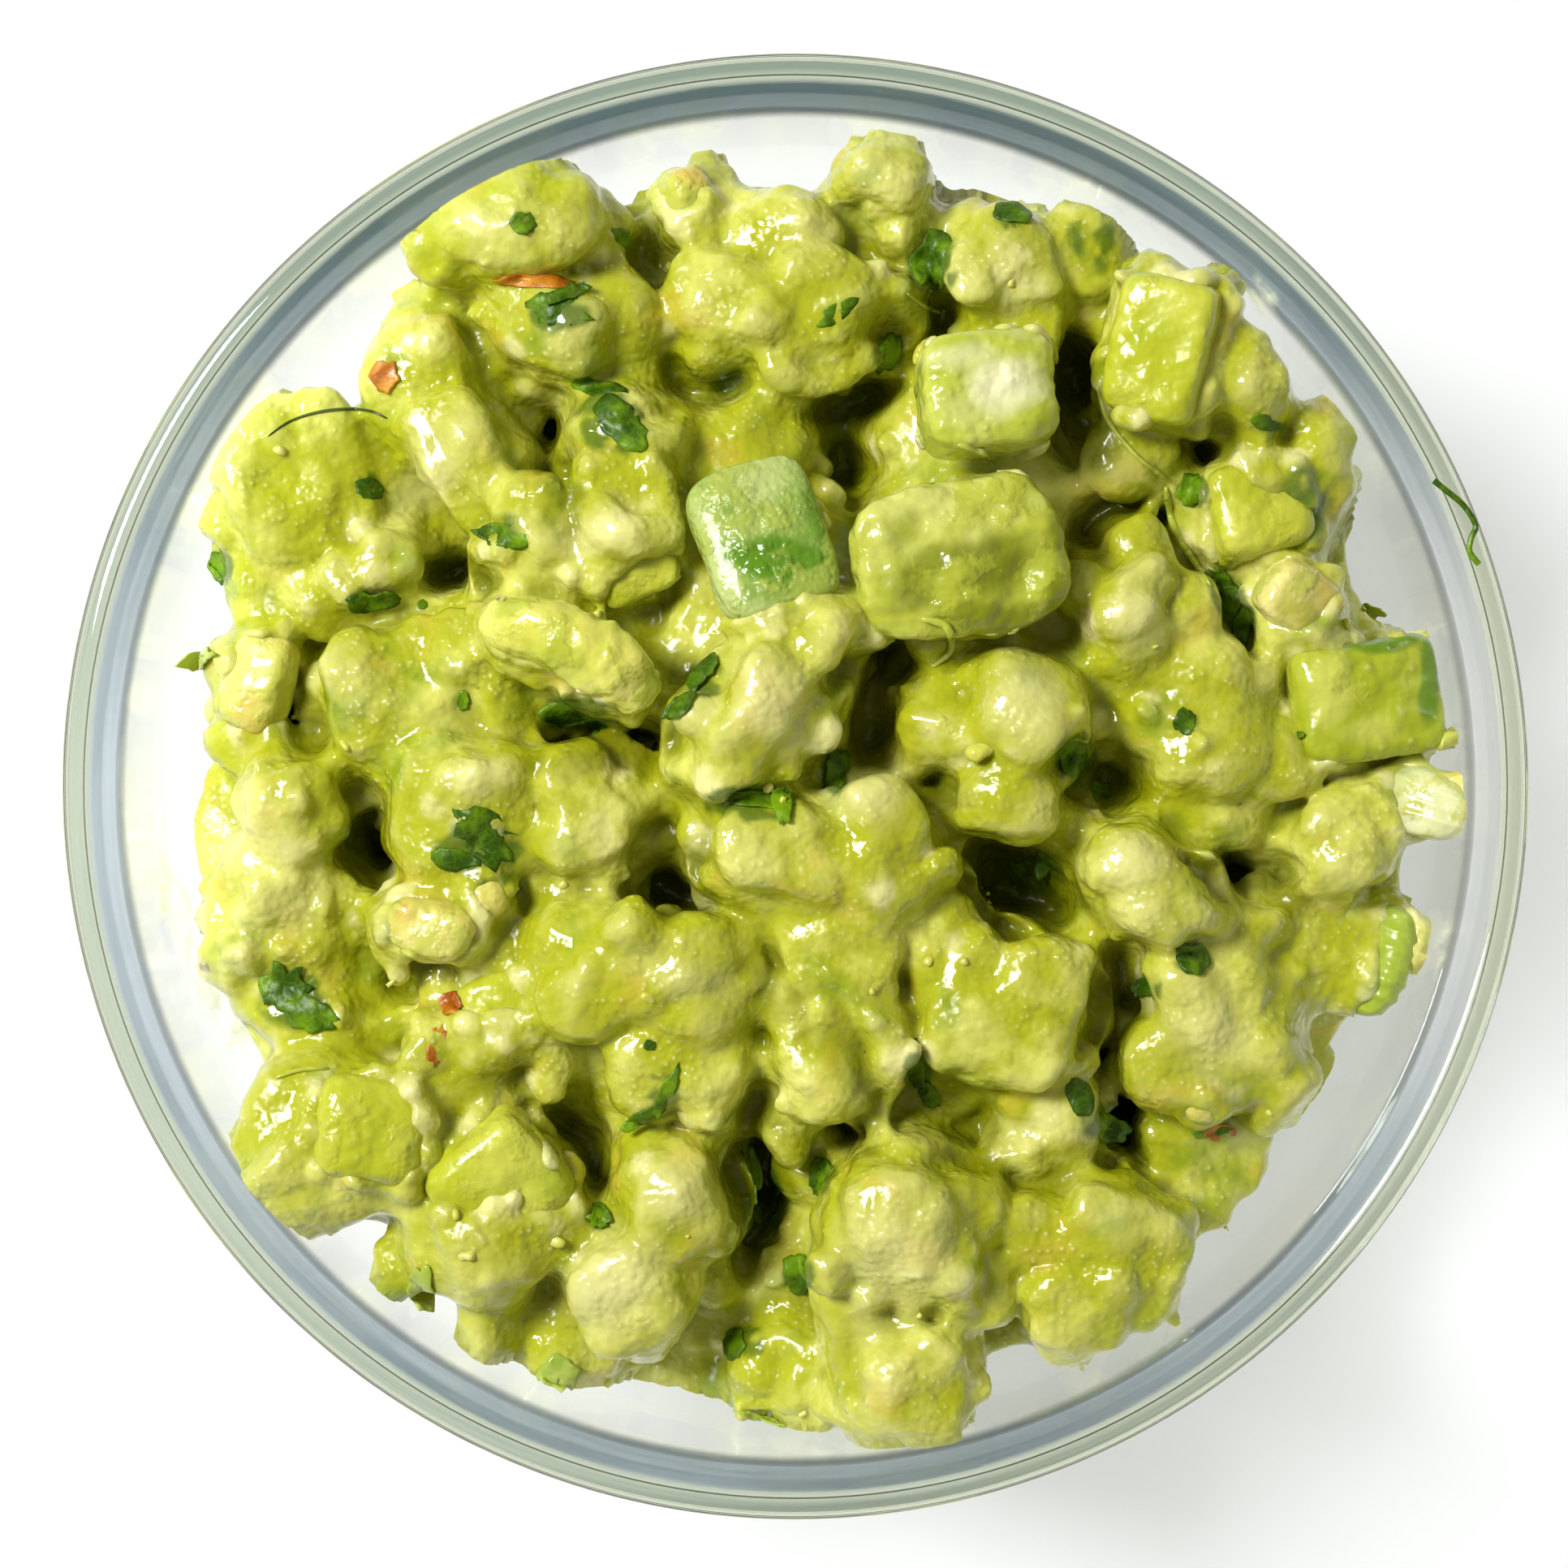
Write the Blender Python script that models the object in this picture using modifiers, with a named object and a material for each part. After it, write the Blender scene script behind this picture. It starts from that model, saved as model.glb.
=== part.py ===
"""Chunky guacamole heaped in a small round glass bowl, with the larger pieces that lie in it."""
import math
from typing import NamedTuple

import bmesh
import bpy
from mathutils import Euler, Vector, noise

# Driving sizes in metres. The origin is the middle of the bowl's resting face.
MM = 0.001
RIM_RADIUS = 60.0 * MM
BOWL_HEIGHT = 50.0 * MM
WALL = 3.2 * MM
FLOOR = 4.0 * MM
FIT_GAP = 0.3 * MM

# The bowl's walls are superellipses about the centre of the rim plane.
WALL_POWER = 2.4
INNER_RADIUS = RIM_RADIUS - WALL
INNER_DEPTH = BOWL_HEIGHT - FLOOR
OUTER_DEPTH = BOWL_HEIGHT + 2.0 * MM
BOWL_SEGMENTS = 56
WALL_STEPS = 8
LIP_STEPS = 4

# The heap's level over the middle and, every 15 degrees from +X, where it meets the glass.
MIDDLE_LEVEL = 42.0 * MM
EDGE_LEVELS_MM = (33, 30, 29, 36, 30, 28, 29, 29, 36, 26, 30, 26, 29, 29, 30, 30, 29, 28, 29, 31, 31, 27, 27, 31)
DOME_POWER = 2.2
RELIEF = 0.5 * MM
RELIEF_WAVELENGTH = 7.0 * MM
HEAP_SEGMENTS = 40
HEAP_RINGS = 18


class Pit(NamedTuple):
    """A dark gap between lumps, in millimetres."""

    x: float
    y: float
    radius: float
    depth: float


class Lump(NamedTuple):
    """A lump fused to the heap, in millimetres; its turn is in degrees and its rise is over the heap's level."""

    name: str
    x: float
    y: float
    length: float
    width: float
    height: float
    turn: float
    rise: float
    squareness: float


class Piece(NamedTuple):
    """A separate piece that lies in a pocket of the heap, in millimetres and degrees."""

    name: str
    place: tuple
    size: tuple
    turns: tuple
    squareness: float
    colour: tuple
    roughness: float


PITS = (
    Pit(-21, 27.5, 4, 6),
    Pit(-16, 2, 4.5, 5),
    Pit(-10, -8, 4.5, 7),
    Pit(7, 9.5, 3.5, 5),
    Pit(5.5, 29, 5, 7),
    Pit(23.5, 33, 3.5, 7),
    Pit(25, 21.5, 4, 6),
    Pit(18.5, -9, 4.5, 7),
    Pit(-36, -5, 3.5, 6),
    Pit(-2.5, -32, 5, 8),
    Pit(26.5, -18, 2.5, 5),
    Pit(27.5, -28.5, 3, 6),
    Pit(39, -7.5, 3, 5),
    Pit(-27.5, 19, 3, 4),
    Pit(-19.5, -30.5, 4, 5),
    Pit(4.5, -27, 4, 5),
    Pit(15, -29, 4, 4),
    Pit(33, 28.5, 3, 4),
)

LUMPS = (
    Lump("crown upper left", -23.5, 46.5, 13.5, 9.5, 14, 10, 3.5, 2.3),
    Lump("crown lower left", -19, 39.5, 12.5, 9, 13, -5, 2, 2.3),
    Lump("tan crumb at the top", -7.5, 48.5, 6.5, 6, 11, 0, 4, 2.2),
    Lump("crown top", -0.5, 46.5, 9.5, 7.5, 12, 20, 3, 2.3),
    Lump("peak at the top", 7, 51.5, 8, 6, 14, -30, 7, 2.4),
    Lump("shoulder at the top", 8, 45.5, 11, 8, 12, -20, 2.5, 2.2),
    Lump("ridge under the top", 0.5, 38.5, 18.5, 8, 12, 12, 2, 2.3),
    Lump("lump right of the top", 17.5, 44, 11, 9, 12, -25, 3.5, 2.3),
    Lump("green lump", 23.5, 45.5, 9, 7, 10, -20, 2, 2.4),
    Lump("avocado block", 32.5, 37.5, 12.5, 9, 16, 80, 6, 4),
    Lump("pale bit on the glass", 39.5, 40, 5, 5, 10, 45, 6, 3),
    Lump("dimpled lump", 38, 33.5, 8, 7, 13, 80, 4.5, 2.3),
    Lump("smooth block", 39, 23.5, 10.5, 8, 14, -10, 4.5, 4),
    Lump("tan crumb right", 43, 15.5, 8, 6.5, 12, -30, 4, 2.4),
    Lump("slope lump", 27.5, 25, 11.5, 6, 11, 60, 1, 2.3),
    Lump("upper left shoulder", -30, 36.5, 13, 9.5, 14, -25, 3.5, 2.3),
    Lump("finger", -26.5, 28, 17.5, 7.5, 14, -38, 4.5, 2.5),
    Lump("pale spur", -18, 20, 15, 8, 12, 15, 4, 2.4),
    Lump("leafy lump", -14.5, 27.5, 10, 9, 11, 60, 1.5, 2.3),
    Lump("round slice", -41, 25.5, 16.5, 12.5, 14, 20, 2.5, 2.3),
    Lump("apron under the slice", -38, 18.5, 16.5, 9, 12, -10, 1.5, 2.3),
    Lump("tan crumb left", -45.5, 7.5, 10.5, 6.5, 12, 70, 4, 2.4),
    Lump("left block", -42, 0, 9, 8, 13, 30, 3.5, 3.5),
    Lump("crescent strip", -18.5, 10.5, 14.5, 5.5, 10, -28, 4, 2.3),
    Lump("left saddle", -30, 5.5, 17.5, 13, 14, -10, 2.5, 2.3),
    Lump("saddle block", -27, -2.5, 11.5, 10, 14, -10, 3.5, 3),
    Lump("pale crumb", -29.5, -11.5, 10, 7, 11, 5, 3.5, 2.4),
    Lump("middle lump", -16, -3, 10.5, 9.5, 13, 20, 3, 2.4),
    Lump("lower left block", -43, -10.5, 11.5, 10.5, 14, 70, 3, 3.5),
    Lump("long lump", -12, -16, 19, 9.5, 14, -22, 3.5, 2.3),
    Lump("centre lump", 1.5, -6, 17.5, 10.5, 15, -12, 4, 2.4),
    Lump("raised finger", -2.5, 7, 16, 9.5, 16, 50, 6, 2.6),
    Lump("pointed lump", 19, 5.5, 9.5, 8.5, 15, 80, 4, 2.8),
    Lump("right nubble", 28, 13.5, 11, 8, 12, 60, 3, 2.3),
    Lump("lower right nubble", 33.5, 4.5, 11.5, 9.5, 12, -10, 2.5, 2.3),
    Lump("smooth knob", 30, -8, 11, 8, 13, -30, 4, 2.3),
    Lump("right slope", 45.5, -5, 12.5, 7.5, 12, 35, 2.5, 2.4),
    Lump("lower right edge", 45, -13.5, 9, 7, 11, 60, 1.5, 2.3),
    Lump("nubbly heap", 35.5, -19, 15.5, 13, 16, 70, 4.5, 2.3),
    Lump("lower right slope", 34, -33, 12.5, 10.5, 14, 50, 2.5, 3),
    Lump("middle ridge", 17, -18, 15.5, 11.5, 14, -15, 3.5, 2.4),
    Lump("centre ridge", 2, -18, 17, 10, 14, -60, 4, 2.3),
    Lump("lower middle lump", -6.5, -24, 16, 7.5, 12, -20, 2.5, 2.3),
    Lump("right of the valley", 20.5, -28, 9.5, 7, 11, 0, 2, 2.3),
    Lump("lower right chunk", 25, -40, 15, 12.5, 18, -60, 6, 3.2),
    Lump("big lower lump", 10, -36.5, 13, 12, 18, 60, 7, 2.5),
    Lump("big lower foot", 9.5, -49.5, 12, 11, 20, 80, 9, 2.5),
    Lump("small lower lump", -1, -49, 7, 6, 12, 60, 3.5, 2.5),
    Lump("yellow block", -14, -41.5, 9.5, 9, 15, -40, 6, 3.2),
    Lump("nubble above the yellow block", -10, -34, 10, 9, 13, -30, 4, 2.3),
    Lump("avocado cube", -26, -36, 13.5, 11.5, 18, 55, 6.5, 4),
    Lump("pale cube", -37.5, -29.5, 14.5, 11, 18, -8, 7.5, 4),
    Lump("lower left slope", -41.5, -19, 12.5, 8, 12, -40, 2.5, 2.3),
    Lump("warm lump", -24.5, -22, 11, 8, 12, -5, 2, 2.4),
    Lump("lower left edge", -20, -47, 9, 7.5, 12, -30, 3.5, 2.4),
    Lump("dim saddle", 10, 6, 10.5, 8.5, 11, 70, 1, 2.3),
    Lump("foot of the point", 17, -1, 8, 5.5, 10, -10, 2, 2.3),
    Lump("right of centre", 11.5, -9.5, 8, 6.5, 11, -30, 2, 2.3),
)
LUMP_SIDES = 12
RINGS_PER_SIDE = 0.6
LUMP_SPREAD = 1.35
LUMP_RISE = 1.5 * MM
LUMP_WOBBLE = 1.3 * MM
LUMP_WAVELENGTH = 5.0 * MM

PIECES = (
    Piece("pepper_piece", (-2.6, 20.4, 46.0), (10.0, 12.6, 3.4), (-14, 8, 17), 5, (0.14, 0.34, 0.03), 0.22),
    Piece("onion_cube", (15.8, 32.5, 44.8), (11.0, 9.5, 8.0), (-6, 5, 4), 6, (0.66, 0.66, 0.33), 0.18),
    Piece("onion_slab", (13.4, 18.8, 45.0), (17.0, 12.6, 5.5), (4, 6, 8), 4.5, (0.58, 0.62, 0.18), 0.2),
    Piece("green_block", (47.8, 7.2, 35.8), (12.5, 9.5, 8.0), (0, 12, 8), 5, (0.36, 0.46, 0.05), 0.25),
    Piece("onion_edge_piece", (53.3, -1.6, 37.5), (8.0, 6.0, 4.0), (0, -30, -20), 3.5, (0.75, 0.74, 0.55), 0.18),
    Piece("leaf_segment", (49.5, -14.8, 33.6), (6.5, 9.5, 3.0), (0, -48, -16), 3, (0.33, 0.5, 0.05), 0.3),
)
PIECE_SIDES = 14

# A wisp of herb lies over the lip, to the right.
WISP_RADIUS = 0.25 * MM
WISP_HEIGHT = BOWL_HEIGHT + FIT_GAP + WISP_RADIUS
WISP_ANGLES = (25.6, 24.4, 22.8, 21.0, 20.2, 19.2, 18.0)
WISP_REACH_MM = (57.6, 58.2, 59.0, 59.3, 58.6, 58.1, 58.5)
WISP_POINTS = 19


def clear_scene():
    """Removes every object, so that the scene holds only this model."""
    for old in list(bpy.data.objects):
        bpy.data.objects.remove(old, do_unlink=True)


def new_collection(name):
    """Adds a collection to the scene."""
    group = bpy.data.collections.new(name)
    bpy.context.scene.collection.children.link(group)
    return group


def material(name, colour, roughness, metallic=0.0, clear=0.0):
    """Returns a Principled material; `clear` lets light through."""
    made = bpy.data.materials.new(name)
    made.use_nodes = True
    shader = made.node_tree.nodes["Principled BSDF"]
    shader.inputs["Base Color"].default_value = (*colour, 1.0)
    shader.inputs["Roughness"].default_value = roughness
    shader.inputs["Metallic"].default_value = metallic
    shader.inputs["Transmission Weight"].default_value = clear
    return made


def mesh_object(name, mesh, group):
    """Links a mesh as an object into a collection."""
    made = bpy.data.objects.new(name, mesh)
    group.objects.link(made)
    return made


def object_from_bmesh(name, shape, group):
    """Turns a bmesh into an object and frees the bmesh."""
    mesh = bpy.data.meshes.new(name)
    shape.to_mesh(mesh)
    shape.free()
    return mesh_object(name, mesh, group)


def smooth_shade(made, sharp_degrees=40.0):
    """Shades an object smooth but for its sharp edges."""
    made.data.shade_smooth()
    made.data.set_sharp_from_angle(angle=math.radians(sharp_degrees))


def wall_point(radius, depth, turn):
    """Returns a point (x, z) of a wall superellipse; `turn` is 0 at the rim and 1 at the bottom centre."""
    angle = turn * math.pi / 2
    across = radius * math.cos(angle) ** (2 / WALL_POWER)
    down = depth * math.sin(angle) ** (2 / WALL_POWER)
    return across, BOWL_HEIGHT - down


def wall_radius(height, radius=INNER_RADIUS, depth=INNER_DEPTH):
    """Returns the inner wall's radius at a height."""
    share = min(max((BOWL_HEIGHT - height) / depth, 0.0), 1.0)
    return radius * (1.0 - share ** WALL_POWER) ** (1 / WALL_POWER)


def wall_turn(height, depth=INNER_DEPTH):
    """Returns the turn of wall_point at which a wall passes a height."""
    share = min(max((BOWL_HEIGHT - height) / depth, 0.0), 1.0)
    return math.asin(share ** (WALL_POWER / 2)) / (math.pi / 2)


def turned(name, profile, group, segments=BOWL_SEGMENTS):
    """Turns a profile of (x, z) points about the Z axis with a Screw modifier, and applies it."""
    shape = bmesh.new()
    points = [shape.verts.new((x, 0.0, z)) for x, z in profile]
    for first, second in zip(points, points[1:]):
        shape.edges.new((first, second))
    made = object_from_bmesh(name, shape, group)
    screw = made.modifiers.new("Turn", "SCREW")
    screw.steps = segments
    screw.render_steps = segments
    screw.use_merge_vertices = True
    screw.merge_threshold = 0.00001
    apply_modifiers(made)
    return made


def apply_modifiers(made):
    """Replaces an object's mesh with its evaluated one and clears its modifiers."""
    depsgraph = bpy.context.evaluated_depsgraph_get()
    result = bpy.data.meshes.new_from_object(made.evaluated_get(depsgraph))
    made.modifiers.clear()
    made.data = result


def bowl_profile():
    """Returns the bowl's section: up the inside, over the lip and down the outside."""
    lip_radius = WALL / 2
    inside = [wall_point(INNER_RADIUS, INNER_DEPTH, 1 - step / WALL_STEPS) for step in range(WALL_STEPS)]
    lip_centre = (RIM_RADIUS - lip_radius, BOWL_HEIGHT - lip_radius)
    lip = []
    for step in range(LIP_STEPS + 1):
        angle = math.pi * (1 - step / LIP_STEPS)
        lip.append((lip_centre[0] + lip_radius * math.cos(angle), lip_centre[1] + lip_radius * math.sin(angle)))
    base_turn = wall_turn(0.0, OUTER_DEPTH)
    outside = [
        wall_point(RIM_RADIUS, OUTER_DEPTH, base_turn * step / WALL_STEPS) for step in range(1, WALL_STEPS + 1)
    ]
    return inside + lip + outside + [(0.0, 0.0)]


def make_bowl(group):
    """Turns the bowl and gives it a clear material."""
    bowl = turned("bowl", bowl_profile(), group)
    smooth_shade(bowl)
    bowl.data.materials.append(material("clear glass", (0.96, 0.98, 0.97), 0.02, clear=1.0))
    return bowl


def edge_level(angle):
    """Returns the heap's height where it meets the glass at an angle, eased between the listed ones."""
    place = (math.degrees(angle) % 360.0) / 360.0 * len(EDGE_LEVELS_MM)
    first = int(place) % len(EDGE_LEVELS_MM)
    second = (first + 1) % len(EDGE_LEVELS_MM)
    ease = (1 - math.cos((place - int(place)) * math.pi)) / 2
    return (EDGE_LEVELS_MM[first] * (1 - ease) + EDGE_LEVELS_MM[second] * ease) * MM


def heap_level(x, y):
    """Returns the height of the bare heap over a place: a dome with pits and a shallow relief."""
    edge = edge_level(math.atan2(y, x))
    share = min(math.hypot(x, y) / wall_radius(edge), 1.1)
    level = MIDDLE_LEVEL + (edge - MIDDLE_LEVEL) * share ** DOME_POWER
    for pit in PITS:
        away = math.hypot(x - pit.x * MM, y - pit.y * MM) / (pit.radius * MM)
        level -= pit.depth * MM * math.exp(-away * away)
    return level + RELIEF * noise.noise(Vector((x, y, 0.0)) / RELIEF_WAVELENGTH)


def make_core(group):
    """Makes the bare heap: a sphere whose lower half follows the bowl and whose upper half is the dome."""
    shape = bmesh.new()
    bmesh.ops.create_uvsphere(shape, u_segments=HEAP_SEGMENTS, v_segments=HEAP_RINGS, radius=1.0)
    overlap = 1.0 * MM
    for point in shape.verts:
        across = math.hypot(point.co.x, point.co.y)
        angle = math.atan2(point.co.y, point.co.x)
        edge = edge_level(angle)
        if point.co.z > -1e-6:
            reach = across * (wall_radius(edge) + overlap)
            spot = (reach * math.cos(angle), reach * math.sin(angle))
            point.co = (*spot, heap_level(*spot))
            continue
        start = wall_turn(edge)
        sunk = math.asin(min(-point.co.z, 1.0)) / (math.pi / 2)
        reach, height = wall_point(INNER_RADIUS + overlap, INNER_DEPTH + overlap, start + (1 - start) * sunk)
        point.co = (reach * math.cos(angle), reach * math.sin(angle), height)
    return object_from_bmesh("guacamole", shape, group)


def rounded_solid(name, centre, size, turns, squareness, wobble, sides, group, swell=0.0):
    """Makes a lump between a ball (squareness 2) and a brick (6 or more), with an uneven surface.

    `swell` moves its surface outwards, for a cutter that leaves a gap.
    """
    shape = bmesh.new()
    bmesh.ops.create_uvsphere(shape, u_segments=sides, v_segments=round(sides * RINGS_PER_SIDE), radius=1.0)
    half = Vector(size) / 2
    turn = Euler([math.radians(value) for value in turns]).to_matrix()
    for point in shape.verts:
        way = point.co.normalized()
        reach = sum(abs(value) ** squareness for value in way) ** (-1 / squareness)
        spot = Vector([way[axis] * reach * half[axis] for axis in range(3)])
        rough = wobble * noise.noise((spot + Vector(centre)) / LUMP_WAVELENGTH)
        outward = Vector([way[axis] / half[axis] for axis in range(3)]).normalized()
        point.co = turn @ (spot + outward * (rough + swell)) + Vector(centre)
    return object_from_bmesh(name, shape, group)


def make_lump(lump, group):
    """Makes one fused lump, its top at its rise over the heap's level."""
    x, y = lump.x * MM, lump.y * MM
    height = lump.height * MM
    centre = (x, y, heap_level(x, y) + lump.rise * MM + LUMP_RISE - height / 2)
    size = (lump.length * LUMP_SPREAD * MM, lump.width * LUMP_SPREAD * MM, height)
    turns = (0, 0, lump.turn)
    return rounded_solid(lump.name, centre, size, turns, lump.squareness, LUMP_WOBBLE, LUMP_SIDES, group)


def bowl_space(group):
    """Turns the space inside the bowl, clear of the glass by the fit gap and open to well above the heap."""
    radius, depth = INNER_RADIUS - FIT_GAP, INNER_DEPTH - FIT_GAP
    wall = [wall_point(radius, depth, step / WALL_STEPS) for step in range(1, WALL_STEPS)]
    bottom = (0.0, BOWL_HEIGHT - depth)
    top = BOWL_HEIGHT + 20.0 * MM
    space = turned("bowl space", [(0.0, top), (radius, top), (radius, BOWL_HEIGHT)] + wall + [bottom], group)
    space.hide_render = True
    space.display_type = "WIRE"
    return space


def boolean(made, operation, other=None, group=None):
    """Applies one Boolean of an object or a collection to `made`; many overlapping lumps need MANIFOLD."""
    step = made.modifiers.new(operation.title(), "BOOLEAN")
    step.operation = operation
    step.solver = "MANIFOLD"
    if group is not None:
        step.operand_type = "COLLECTION"
        step.collection = group
    else:
        step.object = other
    apply_modifiers(made)


def remove_all(group):
    """Removes a collection's objects and the collection."""
    for old in list(group.objects):
        bpy.data.objects.remove(old, do_unlink=True)
    bpy.data.collections.remove(group)


def keep_largest_body(made):
    """Drops loose scraps and the skins of sealed hollows: only the largest connected body stays."""
    shape = bmesh.new()
    shape.from_mesh(made.data)
    bmesh.ops.triangulate(shape, faces=shape.faces)
    left = set(shape.verts)
    bodies = []
    while left:
        front = [left.pop()]
        body = set(front)
        while front:
            for edge in front.pop().link_edges:
                for point in edge.verts:
                    if point in left:
                        left.remove(point)
                        body.add(point)
                        front.append(point)
        bodies.append(body)
    bodies.sort(key=len)
    for body in bodies[:-1]:
        bmesh.ops.delete(shape, geom=list(body), context="VERTS")
    bmesh.ops.triangulate(shape, faces=shape.faces)
    shape.to_mesh(made.data)
    shape.free()


def make_guacamole(group, space):
    """Fuses the lumps to the bare heap, trims it to the bowl and cuts a pocket for each separate piece."""
    guacamole = make_core(group)
    lumps = new_collection("lumps to fuse")
    for lump in LUMPS:
        make_lump(lump, lumps)
    boolean(guacamole, "UNION", group=lumps)
    remove_all(lumps)
    boolean(guacamole, "INTERSECT", other=space)
    pockets = new_collection("pockets")
    for piece in PIECES:
        make_piece_solid(piece, pockets, swell=FIT_GAP)
    boolean(guacamole, "DIFFERENCE", group=pockets)
    remove_all(pockets)
    keep_largest_body(guacamole)
    smooth_shade(guacamole)
    guacamole.data.materials.append(material("guacamole", (0.47, 0.52, 0.09), 0.3))
    return guacamole


def make_piece_solid(piece, group, swell=0.0):
    """Makes the rounded solid of one separate piece."""
    centre = [value * MM for value in piece.place]
    size = [value * MM for value in piece.size]
    wobble = LUMP_WOBBLE / 3
    return rounded_solid(
        piece.name, centre, size, piece.turns, piece.squareness, wobble, PIECE_SIDES, group, swell
    )


def make_piece(piece, group, space):
    """Makes one separate piece, trimmed where it would reach into the glass."""
    made = make_piece_solid(piece, group)
    farthest = max(math.hypot(point.co.x, point.co.y) - wall_radius(point.co.z) for point in made.data.vertices)
    if farthest > -2 * FIT_GAP:
        boolean(made, "INTERSECT", other=space)
        keep_largest_body(made)
    smooth_shade(made)
    made.data.materials.append(material(piece.name.replace("_", " "), piece.colour, piece.roughness))
    return made


def smooth_between(values, share):
    """Returns the value at a share of the way along a list, on a smooth curve through its entries."""
    place = share * (len(values) - 1)
    here = min(int(place), len(values) - 2)
    step = place - here
    before, start = values[max(here - 1, 0)], values[here]
    end, after = values[here + 1], values[min(here + 2, len(values) - 1)]
    bend = 2 * before - 5 * start + 4 * end - after
    twist = 3 * (start - end) + after - before
    return start + 0.5 * step * (end - before + step * (bend + step * twist))


def make_wisp(group):
    """Makes the wisp of herb as a thin tube over the lip, and turns the curve into a mesh with welded caps."""
    curve = bpy.data.curves.new("herb wisp", "CURVE")
    curve.dimensions = "3D"
    curve.bevel_depth = WISP_RADIUS
    curve.bevel_resolution = 2
    curve.use_fill_caps = True
    line = curve.splines.new("POLY")
    line.points.add(WISP_POINTS - 1)
    for index, point in enumerate(line.points):
        share = index / (WISP_POINTS - 1)
        angle = math.radians(smooth_between(WISP_ANGLES, share))
        reach = smooth_between(WISP_REACH_MM, share) * MM
        point.co = (reach * math.cos(angle), reach * math.sin(angle), WISP_HEIGHT, 1.0)
    guide = bpy.data.objects.new("herb wisp", curve)
    group.objects.link(guide)
    mesh = bpy.data.meshes.new_from_object(guide.evaluated_get(bpy.context.evaluated_depsgraph_get()))
    bpy.data.objects.remove(guide, do_unlink=True)
    shape = bmesh.new()
    shape.from_mesh(mesh)
    bmesh.ops.remove_doubles(shape, verts=shape.verts, dist=0.00001)
    wisp = object_from_bmesh("herb_wisp", shape, group)
    smooth_shade(wisp)
    wisp.data.materials.append(material("herb", (0.05, 0.16, 0.03), 0.4))
    return wisp


def main():
    """Builds the bowl, the heap, the separate pieces and the wisp."""
    clear_scene()
    group = new_collection("guacamole in a glass bowl")
    cutters = new_collection("cutters")
    space = bowl_space(cutters)
    make_bowl(group)
    make_guacamole(group, space)
    for piece in PIECES:
        make_piece(piece, group, space)
    make_wisp(group)


main()
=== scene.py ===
"""Looks of a chunky guacamole in a small glass bowl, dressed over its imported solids.

Lengths are in metres, except for names that end in _mm. Places noted from the photograph are in its
own pixels, counted from its upper left corner.
"""
import logging
import math
from dataclasses import dataclass, field, replace
from enum import Enum

import bmesh
import bpy
import numpy as np
from mathutils import Euler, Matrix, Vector, noise
from mathutils.bvhtree import BVHTree
from mathutils.kdtree import KDTree


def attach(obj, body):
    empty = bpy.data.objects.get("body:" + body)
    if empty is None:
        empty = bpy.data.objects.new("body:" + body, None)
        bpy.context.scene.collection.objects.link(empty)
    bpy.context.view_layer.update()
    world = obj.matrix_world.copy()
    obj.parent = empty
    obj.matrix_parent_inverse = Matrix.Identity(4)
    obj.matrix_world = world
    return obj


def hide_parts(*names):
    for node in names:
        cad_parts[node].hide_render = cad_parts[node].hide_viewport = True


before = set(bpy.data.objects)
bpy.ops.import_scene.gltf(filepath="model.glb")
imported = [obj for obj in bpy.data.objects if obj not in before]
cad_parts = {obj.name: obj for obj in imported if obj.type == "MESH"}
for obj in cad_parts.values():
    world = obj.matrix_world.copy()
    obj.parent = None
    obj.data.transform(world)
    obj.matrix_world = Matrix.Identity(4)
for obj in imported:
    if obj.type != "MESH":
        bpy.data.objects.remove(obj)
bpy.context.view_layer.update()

MM = 0.001
LOG = logging.getLogger("guacamole")


def srgb(red: float, green: float, blue: float) -> tuple[float, float, float, float]:
    """Turns an 8-bit display colour into a linear one.

    Args:
        red: Red from 0 to 255.
        green: Green from 0 to 255.
        blue: Blue from 0 to 255.

    Returns:
        The linear colour with full alpha.
    """
    linear = []
    for value in (red, green, blue):
        share = value / 255.0
        linear.append(share / 12.92 if share <= 0.04045 else ((share + 0.055) / 1.055) ** 2.4)
    return (linear[0], linear[1], linear[2], 1.0)


# The photograph's frame


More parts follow.
